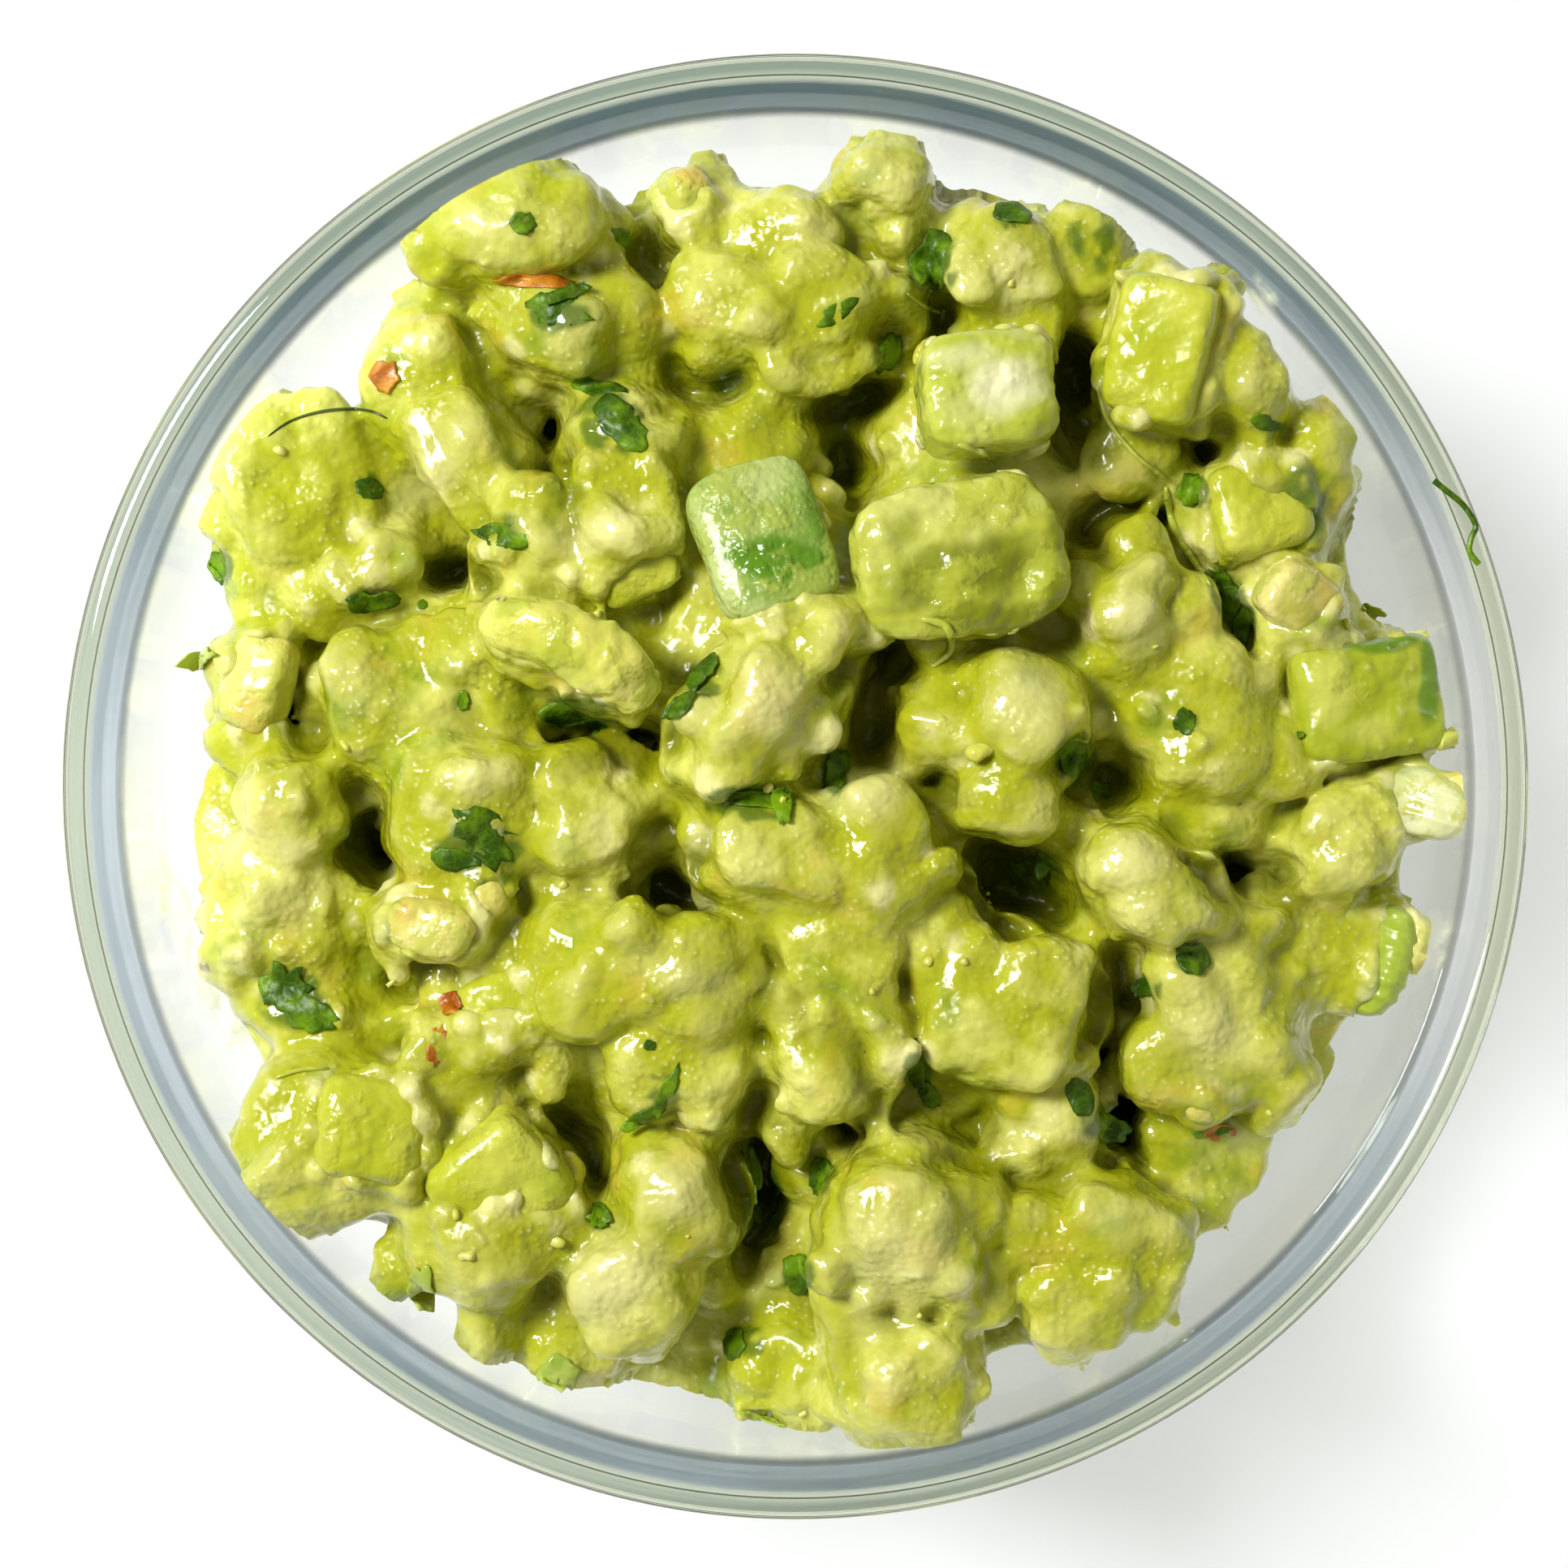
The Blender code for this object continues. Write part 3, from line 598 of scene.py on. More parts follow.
@dataclass(frozen=True)
class GlassFinish:
    """Clear pressed glass with a painted slate reflection on its steep wall, which lets lamps through to
    what lies under it.
    """

    name: str = "clear glass"
    tint: tuple = (0.985, 0.995, 0.99, 1.0)
    # The next two tints colour a painted dark reflection on the steep wall under the lip.
    glancing_reflection_tint: tuple = (0.75, 0.80, 0.84, 1.0)
    far_reflection_tint: tuple = (0.30, 0.37, 0.38, 1.0)
    lip_tint: tuple = (0.66, 0.72, 0.44, 1.0)
    painted_reflection_share: float = 0.88

    def material(self) -> bpy.types.Material:
        """Builds the material and returns it."""
        made, sheet, shader = new_material(self.name)
        place = sheet.add("TexCoord").outputs["Object"]
        where = sheet.add("SeparateXYZ", Vector=place)
        lip = sheet.step(where.outputs["Z"], 48.3 * MM, 49.2 * MM)
        sheet.fill(shader.inputs["Base Color"], sheet.mix(lip, self.tint, self.lip_tint))
        shader.inputs["Transmission Weight"].default_value = 1.0
        shader.inputs["Roughness"].default_value = 0.0
        shader.inputs["IOR"].default_value = 1.5
        # A see-through sheet in slate tints, mixed in under the lip: a painted dark reflection.
        slate = sheet.add("BsdfTransparent", Color=self.slate(sheet, place, where))
        body = sheet.add("MixShader")
        sheet.fill(body.inputs[0], self.painted_reflection_band(sheet, where))
        sheet.fill(body.inputs[1], shader.outputs[0])
        sheet.fill(body.inputs[2], slate.outputs[0])
        clear = sheet.add("BsdfTransparent", Color=(0.93, 0.95, 0.95, 1.0))
        path = sheet.add("LightPath")
        blend = sheet.add("MixShader")
        sheet.fill(blend.inputs[0], path.outputs["Is Shadow Ray"])
        sheet.fill(blend.inputs[1], body.outputs[0])
        sheet.fill(blend.inputs[2], clear.outputs[0])
        sheet.fill(made.node_tree.nodes["Material Output"].inputs["Surface"], blend.outputs[0])
        return made

    def slate(
        self, sheet: NodeSheet, place: bpy.types.NodeSocket, where: bpy.types.Node,
    ) -> bpy.types.NodeSocket:
        """Returns the slate tint of the painted reflection round the wall: darkest at the top of the view
        and clear at its right.
        """
        streaky = sheet.add("VectorMath", {"operation": "MULTIPLY"}, Vector=place)
        streaky.inputs[1].default_value = (1.0, 1.0, 6.0)
        wavy = sheet.math("MULTIPLY", sheet.noise(streaky.outputs[0], 45.0, 3.0), 0.04)
        aside = sheet.math("ABSOLUTE", where.outputs["Y"])
        bright = sheet.step(sheet.math("SUBTRACT", where.outputs["X"], aside), 0.008, 0.05)
        side = sheet.math("MAXIMUM", where.outputs["Y"], sheet.math("MULTIPLY", where.outputs["Y"], -0.45))
        lighter = sheet.math("MULTIPLY", sheet.math("MAXIMUM", where.outputs["X"], 0.0), 0.25)
        side = sheet.math("SUBTRACT", side, lighter)
        far = sheet.step(sheet.math("ADD", side, wavy), 0.012, 0.075)
        return sheet.mix(bright, sheet.mix(far, self.glancing_reflection_tint, self.far_reflection_tint), self.tint)

    def painted_reflection_band(self, sheet: NodeSheet, where: bpy.types.Node) -> bpy.types.NodeSocket:
        """Returns how much painted reflection shows: all on the steep wall under the lip, where the view
        glances off.
        """
        squares = [sheet.math("MULTIPLY", where.outputs[axis], where.outputs[axis]) for axis in "XY"]
        across = sheet.math("SQRT", sheet.math("ADD", *squares))
        inside = sheet.math("MULTIPLY", sheet.step(where.outputs["Z"], 0.036, 0.038), 1.45 * MM)
        lip = sheet.math("MULTIPLY", sheet.step(where.outputs["Z"], 0.045, 0.047), 2.0 * MM)
        inner = sheet.step(sheet.math("ADD", across, inside), 57.5 * MM, 57.9 * MM)
        outer = sheet.step(sheet.math("ADD", across, lip), 59.3 * MM, 59.9 * MM)
        ring = sheet.math("MULTIPLY", inner, sheet.math("SUBTRACT", 1.0, outer))
        facing = sheet.add("LayerWeight", Blend=0.5).outputs["Facing"]
        topmost = sheet.step(where.outputs["Z"], 0.048, 0.0484)
        steep = sheet.math("MAXIMUM", sheet.step(facing, 0.5, 0.65), topmost)
        return sheet.math("MULTIPLY", sheet.math("MULTIPLY", ring, steep), self.painted_reflection_share)


# Mesh helpers


def noise_over(points: np.ndarray, wavelength: float, shift: float = 0.0) -> np.ndarray:
    """Reads a smooth noise at each point.

    Args:
        points: Places, one row each.
        wavelength: The distance from bump to bump.
        shift: A move of the noise, for an unlike pattern.

    Returns:
        Values from about -1 to 1.
    """
    scaled = points / wavelength + shift
    return np.array([noise.noise(place) for place in scaled])


def vertex_array(mesh: bpy.types.Mesh) -> np.ndarray:
    """Returns a mesh's vertex places, one row each."""
    flat = np.empty(len(mesh.vertices) * 3)
    mesh.vertices.foreach_get("co", flat)
    return flat.reshape(-1, 3)


def normal_array(mesh: bpy.types.Mesh) -> np.ndarray:
    """Returns a mesh's vertex normals, one row each."""
    flat = np.empty(len(mesh.vertices) * 3, np.float32)
    mesh.vertex_normals.foreach_get("vector", flat)
    return flat.reshape(-1, 3).astype(float)


def note(mesh: bpy.types.Mesh, name: str, values: np.ndarray) -> None:
    """Keeps a value at each vertex, which a finish reads by its name."""
    mesh.attributes.new(name, "FLOAT", "POINT").data.foreach_set("value", values.astype(np.float32))


def set_vertices(mesh: bpy.types.Mesh, points: np.ndarray) -> None:
    """Moves a mesh's vertices to new places."""
    mesh.vertices.foreach_set("co", points.astype(np.float32).ravel())
    mesh.update()


def smoothed(mesh: bpy.types.Mesh, points: np.ndarray, rounds: int, share: float = 0.5) -> np.ndarray:
    """Draws each point towards the mean of its neighbours.

    Args:
        mesh: The mesh that gives the edges.
        points: The places to smooth.
        rounds: How many times.
        share: How far each time.

    Returns:
        The smoothed places.
    """
    pairs = np.empty(len(mesh.edges) * 2, np.int64)
    mesh.edges.foreach_get("vertices", pairs)
    first, second = pairs.reshape(-1, 2).T
    count = len(points)
    degree = np.maximum(np.bincount(first, minlength=count) + np.bincount(second, minlength=count), 1)
    for _ in range(rounds):
        for axis in range(3):
            values = points[:, axis]
            total = np.bincount(first, values[second], count) + np.bincount(second, values[first], count)
            points[:, axis] = values + share * (total / degree - values)
    return points


def make_object(
    name: str, mesh: bpy.types.Mesh, finish: bpy.types.Material | None = None,
) -> bpy.types.Object:
    """Links a mesh to the scene as an object with one material."""
    made = bpy.data.objects.new(name, mesh)
    bpy.context.scene.collection.objects.link(made)
    if finish is not None:
        mesh.materials.clear()
        mesh.materials.append(finish)
    return made


def apply_modifiers(made: bpy.types.Object) -> None:
    """Replaces an object's mesh by its evaluated one."""
    depsgraph = bpy.context.evaluated_depsgraph_get()
    result = bpy.data.meshes.new_from_object(made.evaluated_get(depsgraph))
    made.modifiers.clear()
    made.data = result


def voxel_remesh(made: bpy.types.Object, size: float) -> None:
    """Rebuilds an object's mesh from even voxels."""
    step = made.modifiers.new("Even mesh", "REMESH")
    step.mode = "VOXEL"
    step.voxel_size = size
    apply_modifiers(made)


def mesh_from(shape: bmesh.types.BMesh, name: str) -> bpy.types.Mesh:
    """Turns a bmesh into a mesh that is shaded smooth."""
    mesh = bpy.data.meshes.new(name)
    shape.to_mesh(mesh)
    shape.free()
    mesh.shade_smooth()
    return mesh


class Surface:
    """The heap's finished surface, onto which small things are dropped from above."""

    def __init__(self, pieces: list[bpy.types.Object]) -> None:
        """Gathers the pieces' faces into one search tree."""
        shape = bmesh.new()
        for piece in pieces:
            mesh = piece.data.copy()
            mesh.transform(piece.matrix_world)
            shape.from_mesh(mesh)
            bpy.data.meshes.remove(mesh)
        self.tree = BVHTree.FromBMesh(shape)
        shape.free()

    def drop(self, x: float, y: float) -> tuple[Vector, Vector] | None:
        """Finds the surface under a place.

        Args:
            x: Across, in metres.
            y: Along, in metres.

        Returns:
            The point and the surface's normal there, or None beside the heap.
        """
        point, normal, _, _ = self.tree.ray_cast(Vector((x, y, 0.1)), Vector((0.0, 0.0, -1.0)))
        return None if point is None else (point, normal)

    def under_pixel(self, column: float, row: float) -> tuple[Vector, Vector] | None:
        """Finds the surface that a pixel of the photograph shows."""
        eye = PHOTO.camera_place()
        way = (PHOTO.place(column, row, 0.0) - eye).normalized()
        point, normal, _, _ = self.tree.ray_cast(eye, way)
        return None if point is None else (point, normal)


# The glass bowl


@dataclass
class GlassBowl:
    """The turned glass bowl: superellipse walls, a round lip and a flat resting face."""

    rim_radius: float = 60.0 * MM
    height: float = 50.0 * MM
    wall: float = 3.2 * MM
    floor: float = 4.0 * MM
    base_sink: float = 2.0 * MM
    power: float = 2.4
    wall_steps: int = 48
    lip_steps: int = 18
    segments: int = 224

    def wall_point(self, radius: float, depth: float, turn: float) -> tuple[float, float]:
        """Returns a point of a wall's section; `turn` is 0 at the rim and 1 at the bottom centre."""
        angle = turn * math.pi / 2
        across = radius * math.cos(angle) ** (2 / self.power)
        return across, self.height - depth * math.sin(angle) ** (2 / self.power)

    def inner_radius(self, height: np.ndarray | float) -> np.ndarray | float:
        """Returns the inner wall's radius at a height, or at many."""
        share = np.clip((self.height - height) / (self.height - self.floor), 0.0, 1.0)
        return (self.rim_radius - self.wall) * (1.0 - share ** self.power) ** (1 / self.power)

    def keep_in(self, points: np.ndarray, past_wall: float) -> None:
        """Draws points towards the axis, so that none lies further out than a little past the inner wall."""
        across = np.hypot(points[:, 0], points[:, 1])
        limit = self.inner_radius(points[:, 2]) + past_wall
        points[:, :2] *= np.minimum(limit / np.maximum(across, 1e-6), 1.0)[:, None]

    def section(self) -> list[tuple[float, float]]:
        """Returns the section: up the inside, over the lip and down the outside to the axis."""
        radius, depth = self.rim_radius - self.wall, self.height - self.floor
        steps = self.wall_steps
        inside = [self.wall_point(radius, depth, 1 - step / steps) for step in range(steps)]
        lip_radius = self.wall / 2
        lip = []
        for step in range(self.lip_steps + 1):
            angle = math.pi * (1 - step / self.lip_steps)
            across = self.rim_radius - lip_radius + lip_radius * math.cos(angle)
            lip.append((across, self.height - lip_radius + lip_radius * math.sin(angle)))
        outer_depth = self.height + self.base_sink
        base_turn = math.asin((self.height / outer_depth) ** (self.power / 2)) / (math.pi / 2)
        outside = [
            self.wall_point(self.rim_radius, outer_depth, base_turn * step / steps)
            for step in range(1, steps + 1)
        ]
        lip_end = self.height - lip_radius
        inside = [point for point in inside if point[1] < lip_end - 0.1 * MM]
        outside = [point for point in outside if point[1] < lip_end - 0.1 * MM]
        return inside + lip + outside + [(0.0, 0.0)]

    def build(self) -> bpy.types.Object:
        """Turns the section and dresses it."""
        shape = bmesh.new()
        points = [shape.verts.new((x, 0.0, z)) for x, z in self.section()]
        for first, second in zip(points, points[1:]):
            shape.edges.new((first, second))
        made = make_object("glass_bowl", mesh_from(shape, "glass bowl"))
        screw = made.modifiers.new("Turn", "SCREW")
        screw.steps = self.segments
        screw.render_steps = self.segments
        screw.use_merge_vertices = True
        screw.merge_threshold = 0.00001
        apply_modifiers(made)
        made.data.shade_smooth()
        made.data.set_sharp_from_angle(angle=math.radians(40.0))
        made.data.materials.append(GlassFinish().material())
        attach(made, "root")
        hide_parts("bowl")
        return made


# Shapes made of points and faces


@dataclass
class MeshPile:
    """Gathers the points and faces of many small shapes into one mesh."""

    points: list = field(default_factory=list)
    faces: list = field(default_factory=list)
    count: int = 0

    def add(self, points: np.ndarray, faces: list) -> None:
        """Adds one shape.

        Args:
            points: Its points, one row each.
            faces: Its faces, as lists of point numbers.
        """
        self.points.append(points)
        self.faces.extend([[number + self.count for number in face] for face in faces])
        self.count += len(points)

    def add_mesh(self, mesh: bpy.types.Mesh) -> None:
        """Adds the faces of a whole mesh."""
        self.add(vertex_array(mesh), [list(face.vertices) for face in mesh.polygons])

    def mesh(self, name: str) -> bpy.types.Mesh:
        """Returns all the shapes as one mesh that is shaded smooth."""
        made = bpy.data.meshes.new(name)
        made.from_pydata(np.concatenate(self.points).tolist(), [], self.faces)
        made.update()
        made.shade_smooth()
        return made


class BallPattern:
    """The directions and faces of a round or a square-gridded ball, built once for each size."""

    kept: dict = {}

    @classmethod
    def round_ball(cls, level: int) -> tuple[np.ndarray, list]:
        """Returns unit directions and faces of an icosphere."""
        return cls.pattern(("round", level))

    @classmethod
    def square_ball(cls, cuts: int) -> tuple[np.ndarray, list]:
        """Returns unit directions and faces of a subdivided cube."""
        return cls.pattern(("square", cuts))

    @classmethod
    def pattern(cls, key: tuple[str, int]) -> tuple[np.ndarray, list]:
        """Builds a pattern or finds it among those kept.

        Args:
            key: The kind of ball and how fine it is.

        Returns:
            The unit directions and the faces.
        """
        if key not in cls.kept:
            shape = bmesh.new()
            if key[0] == "round":
                bmesh.ops.create_icosphere(shape, subdivisions=key[1], radius=1.0)
            else:
                bmesh.ops.create_cube(shape, size=2.0)
                bmesh.ops.subdivide_edges(shape, edges=shape.edges, cuts=key[1], use_grid_fill=True)
            ways = np.array([point.co.normalized() for point in shape.verts])
            faces = [[point.index for point in face.verts] for face in shape.faces]
            shape.free()
            cls.kept[key] = (ways, faces)
        return cls.kept[key]


def turn_matrix(turns: tuple[float, float, float]) -> np.ndarray:
    """Returns the rotation for three angles in degrees."""
    return np.array(Euler([math.radians(value) for value in turns]).to_matrix())


@dataclass
class CutShape:
    """A cut bit between a ball and a brick, with softened edges and slightly uneven faces."""

    place: Vector
    size_mm: tuple[float, float, float]
    turns: tuple[float, float, float]
    squareness: float = 6.0
    uneven: float = 0.35 * MM
    swell: float = 0.0
    taper: float = 0.0
    bend: float = 0.0
    rib: float = 0.0
    rib_step: float = 1.5 * MM

    def points(self, ways: np.ndarray) -> np.ndarray:
        """Places a ball pattern's directions on the bit's surface.

        Args:
            ways: Unit directions, one row each.

        Returns:
            The points in the row frame.
        """
        half = np.array(self.size_mm) * MM / 2
        reach = (np.abs(ways) ** self.squareness).sum(axis=1) ** (-1 / self.squareness)
        spots = ways * reach[:, None] * half
        outward = ways / half
        outward /= np.linalg.norm(outward, axis=1)[:, None]
        shift = float(self.place.x * 900 + self.place.y * 500)
        rough = noise_over(spots, 4.5 * MM, shift) + 0.35 * noise_over(spots, 1.6 * MM, shift)
        across = spots[:, 1] + 0.8 * MM * noise_over(spots, 6.0 * MM, shift + 4.0)
        ribs = self.rib * np.abs(np.sin(math.pi * across / self.rib_step))
        spots = spots + outward * (self.swell + self.uneven * rough - ribs)[:, None]
        narrow = 1.0 - self.taper * (spots[:, 0] / half[0] + 1) / 2
        spots[:, 1] *= narrow
        spots[:, 2] += self.bend * (spots[:, 0] / half[0]) ** 2 * half[0]
        return spots @ turn_matrix(self.turns).T + np.array(self.place)


def path_points(path: list[tuple], between: int) -> np.ndarray:
    """Draws a smooth line through given places.

    Args:
        path: The places, with any further values.
        between: How many steps each stretch gets.

    Returns:
        Places and values along the line.
    """
    given = np.array(path, float)
    padded = np.concatenate([2 * given[:1] - given[1:2], given, 2 * given[-1:] - given[-2:-1]])
    drawn = []
    for first in range(len(given) - 1):
        before, start, end, after = padded[first:first + 4]
        for step in range(between):
            t = step / between
            square = (2 * before - 5 * start + 4 * end - after) * t * t
            cube = (3 * start - before - 3 * end + after) * t ** 3
            drawn.append(0.5 * (2 * start + (end - before) * t + square + cube))
    drawn.append(given[-1])
    return np.array(drawn)


def strand_shape(line: np.ndarray, sides: int, flatness: float) -> tuple[np.ndarray, list]:
    """Sweeps an oval along a line and closes its ends.

    Args:
        line: Places along the line, each with its radius.
        sides: The oval's number of corners.
        flatness: The oval's height over its width.

    Returns:
        The points and the faces.
    """
    spots, radii = line[:, :3], line[:, 3]
    ahead = np.gradient(spots, axis=0)
    ahead /= np.linalg.norm(ahead, axis=1)[:, None]
    aside = np.cross(ahead, np.array([0.0, 0.0, 1.0]))
    aside /= np.maximum(np.linalg.norm(aside, axis=1), 1e-9)[:, None]
    upward = np.cross(aside, ahead)
    points, faces = [], []
    for place, radius, side, rise in zip(spots, radii, aside, upward):
        for corner in range(sides):
            angle = 2 * math.pi * corner / sides
            points.append(place + radius * (math.cos(angle) * side + flatness * math.sin(angle) * rise))
    for ring in range(len(spots) - 1):
        for corner in range(sides):
            after = (corner + 1) % sides
            low, high = ring * sides, (ring + 1) * sides
            faces.append([low + corner, low + after, high + after, high + corner])
    faces.append(list(range(sides))[::-1])
    faces.append(list(range(len(points) - sides, len(points))))
    return np.array(points), faces


# The mash


class Bite(Enum):
    """How a bit of the mash was cut: crushed round or left square."""

    CRUSHED = 2.1
    CUT = 4.5


@dataclass(frozen=True)
class BitRule:
    """How one kind of bit is scattered over the mash."""

    bite: Bite
    tries: int
    smallest: float
    largest: float
    level: int
    patch_size: float
    patch_bias: float
    seed: int


# The dark gaps: carved into the heap, and also painted with shade through the hollow mask.
GAPS = tuple(Mark(*row) for row in (
    (674, 545, 46, 150, -14, 1.3), (745, 925, 170, 56, -14, 1.4), (828, 1085, 84, 110, 20, 1.4),
    (1085, 818, 90, 54, -10, 1.2), (1080, 895, 50, 100, -8, 0.9), (1050, 500, 110, 44, -16, 1.2),
    (1040, 570, 56, 90, 20, 1.1), (1325, 490, 66, 120, -6, 1.3), (1375, 635, 100, 50, -32, 1.2),
    (1245, 1100, 130, 100, 30, 1.2), (452, 1040, 48, 110, -14, 1.2), (935, 1450, 56, 190, 4, 1.4),
    (1372, 1230, 60, 70, -30, 1.2), (1392, 1400, 34, 120, -8, 1.3), (1545, 1080, 110, 46, 14, 1.2),
    (568, 700, 90, 40, 10, 1), (690, 1430, 90, 80, 20, 1), (1050, 1350, 46, 190, -12, 0.9),
    (1205, 1420, 90, 60, 10, 0.9), (1480, 545, 70, 46, 20, 0.9), (372, 880, 34, 80, -10, 0.9),
    (960, 1230, 60, 120, -30, 0.7), (870, 470, 120, 50, -24, 0.7), (1180, 970, 110, 50, -8, 0.9),
    (1360, 960, 90, 60, 20, 0.9), (520, 1190, 60, 60, 0, 0.7), (620, 1330, 70, 60, 20, 0.6),
    (1350, 1280, 50, 60, 0, 0.9), (1130, 400, 120, 50, -20, 0.8),
    (820, 720, 40, 70, 0, 0.5), (930, 1700, 50, 50, 0, 0.6), (1490, 1390, 120, 40, -20, 0.6),
))
SMOOTH = tuple(Mark(*row) for row in (
    (560, 560, 190, 260, -30), (770, 610, 150, 190), (1160, 690, 310, 260), (1440, 430, 170, 230),
    (1550, 630, 180, 160), (620, 1470, 170, 170), (430, 1400, 220, 160), (1225, 470, 190, 170),
    (600, 1260, 150, 130), (1010, 1150, 190, 110), (940, 660, 170, 240), (640, 290, 150, 120),
    (1650, 860, 200, 160), (1420, 1600, 170, 120), (520, 850, 200, 110), (1400, 1060, 160, 100),
    (380, 640, 120, 170), (1705, 1180, 150, 200),
))
NUBBLY = tuple(Mark(*row) for row in (
    (1500, 1260, 260, 290), (820, 1470, 180, 180), (1130, 1560, 230, 260), (690, 900, 230, 150),
    (560, 1010, 160, 120), (480, 660, 220, 160), (1200, 940, 170, 150), (1250, 330, 170, 130),
    (980, 380, 230, 150), (1380, 760, 190, 150), (950, 840, 150, 160), (1200, 1230, 260, 240),
    (1640, 1000, 240, 160), (850, 1200, 260, 210), (320, 1130, 190, 210), (1390, 1520, 190, 170),
    (1010, 1350, 220, 160), (740, 290, 130, 130), (1090, 220, 120, 80), (640, 1560, 170, 120),
))
STAINS = tuple(Mark(*row) for row in (
    (645, 275, 40, 34), (765, 290, 30, 26), (690, 385, 90, 60), (750, 520, 110, 90, 30),
    (1150, 325, 80, 90), (1245, 265, 50, 40), (1095, 435, 46, 60), (1470, 605, 50, 50),
    (1520, 745, 50, 120, -30), (460, 738, 70, 36), (270, 700, 40, 56), (455, 600, 44, 40),
    (710, 880, 100, 60), (870, 835, 60, 60), (1030, 950, 44, 70), (930, 990, 150, 56), (590, 1045, 130, 80),
    (365, 1235, 110, 84), (1460, 890, 36, 36), (1015, 1450, 44, 56), (1130, 1320, 44, 74),
    (820, 1350, 44, 84), (740, 1500, 40, 40), (985, 1570, 50, 60), (1325, 935, 60, 90),
    (1470, 1180, 50, 56), (1415, 1215, 40, 40), (1360, 1380, 76, 60), (925, 1655, 54, 50),
    (1350, 300, 110, 110, 0, 0.5), (1610, 620, 90, 130, 0, 0.6), (620, 1090, 90, 50, 0, 0.5),
    (1260, 1080, 130, 80, 0, 0.5), (940, 1480, 70, 120, 0, 0.8), (1560, 530, 60, 40, 0, 0.6),
    (620, 650, 90, 50, 0, 0.6), (900, 470, 90, 30, -30, 0.7),
))
# Places on raised lumps that are made paler and creamier.
PALE_PLACES = tuple(Mark(*row) for row in (
    (1095, 1560, 210, 270, 0, 0.6), (952, 856, 120, 180, -30, 0.7), (1394, 1080, 140, 130, 0, 0.5),
    (1262, 855, 110, 130, 0, 0.6), (480, 1385, 150, 120, 0, 0.7), (290, 1030, 150, 130, 0, 0.5),
    (524, 595, 90, 210, 34, 0.7), (735, 650, 170, 90, -20, 0.7), (1490, 1270, 150, 160, 0, 0.6),
    (1250, 335, 100, 110, 0, 0.7), (1075, 970, 150, 110, 0, 0.6), (600, 955, 120, 80, 0, 0.6),
    (575, 1020, 70, 60, 0, 0.9), (1460, 420, 110, 150, -14, 0.5), (365, 1105, 130, 130, 0, 0.5),
    (1290, 1385, 90, 70, 0, 0.7), (720, 860, 160, 60, 10, 0.5), (1546, 640, 120, 110, 0, 0.5),
    (840, 1200, 200, 80, 20, 0.5), (850, 1470, 120, 120, 0, 0.5), (590, 270, 90, 60, 0, 0.4),
    (1010, 280, 120, 80, -20, 0.5), (1400, 760, 70, 110, 0, 0.6), (950, 1210, 70, 60, 0, 0.4),
    (762, 1582, 160, 180, 24, 0.9),
))
OUTLINE_MOVES = tuple(Mark(*row) for row in (
    (874, 199, 120, 110, 0, -1.4), (994, 203, 110, 110, 0, -1.4), (1467, 318, 120, 120, 0, -1.2),
    (1550, 390, 150, 150, 0, -1.6), (1600, 440, 120, 120, 0, -1), (444, 415, 120, 120, 0, -1.4),
    (402, 488, 200, 130, 0, -2.2), (290, 579, 120, 120, 0, -1.4), (1689, 714, 130, 130, 0, -1.4),
    (250, 920, 130, 170, 0, -1.4), (1737, 1081, 120, 110, 0, -1.2), (299, 1312, 120, 120, 0, -1.4),
    (463, 1544, 120, 120, 0, -1.4), (560, 1621, 120, 120, 0, -1.4), (1544, 1457, 120, 120, 0, -1.4),
    (1476, 1563, 120, 120, 0, -1.6), (1390, 1660, 130, 120, 0, -1.4), (1235, 1679, 120, 120, 0, -1.6),
    (1640, 590, 120, 160, 0, 1.4), (1747, 791, 110, 110, 0, 1.4), (1747, 1119, 110, 110, 0, 1.2),
    (1621, 1341, 130, 130, 0, 1.4), (251, 791, 110, 110, 0, 1.2), (299, 1438, 120, 120, 0, 1.4),
    (396, 1515, 120, 110, 0, 1.4), (676, 1708, 110, 110, 0, 1.4), (800, 1700, 130, 110, 0, 1.2),
    (888, 1718, 110, 110, 0, 1.4), (1158, 251, 110, 110, 0, 1.2),
))


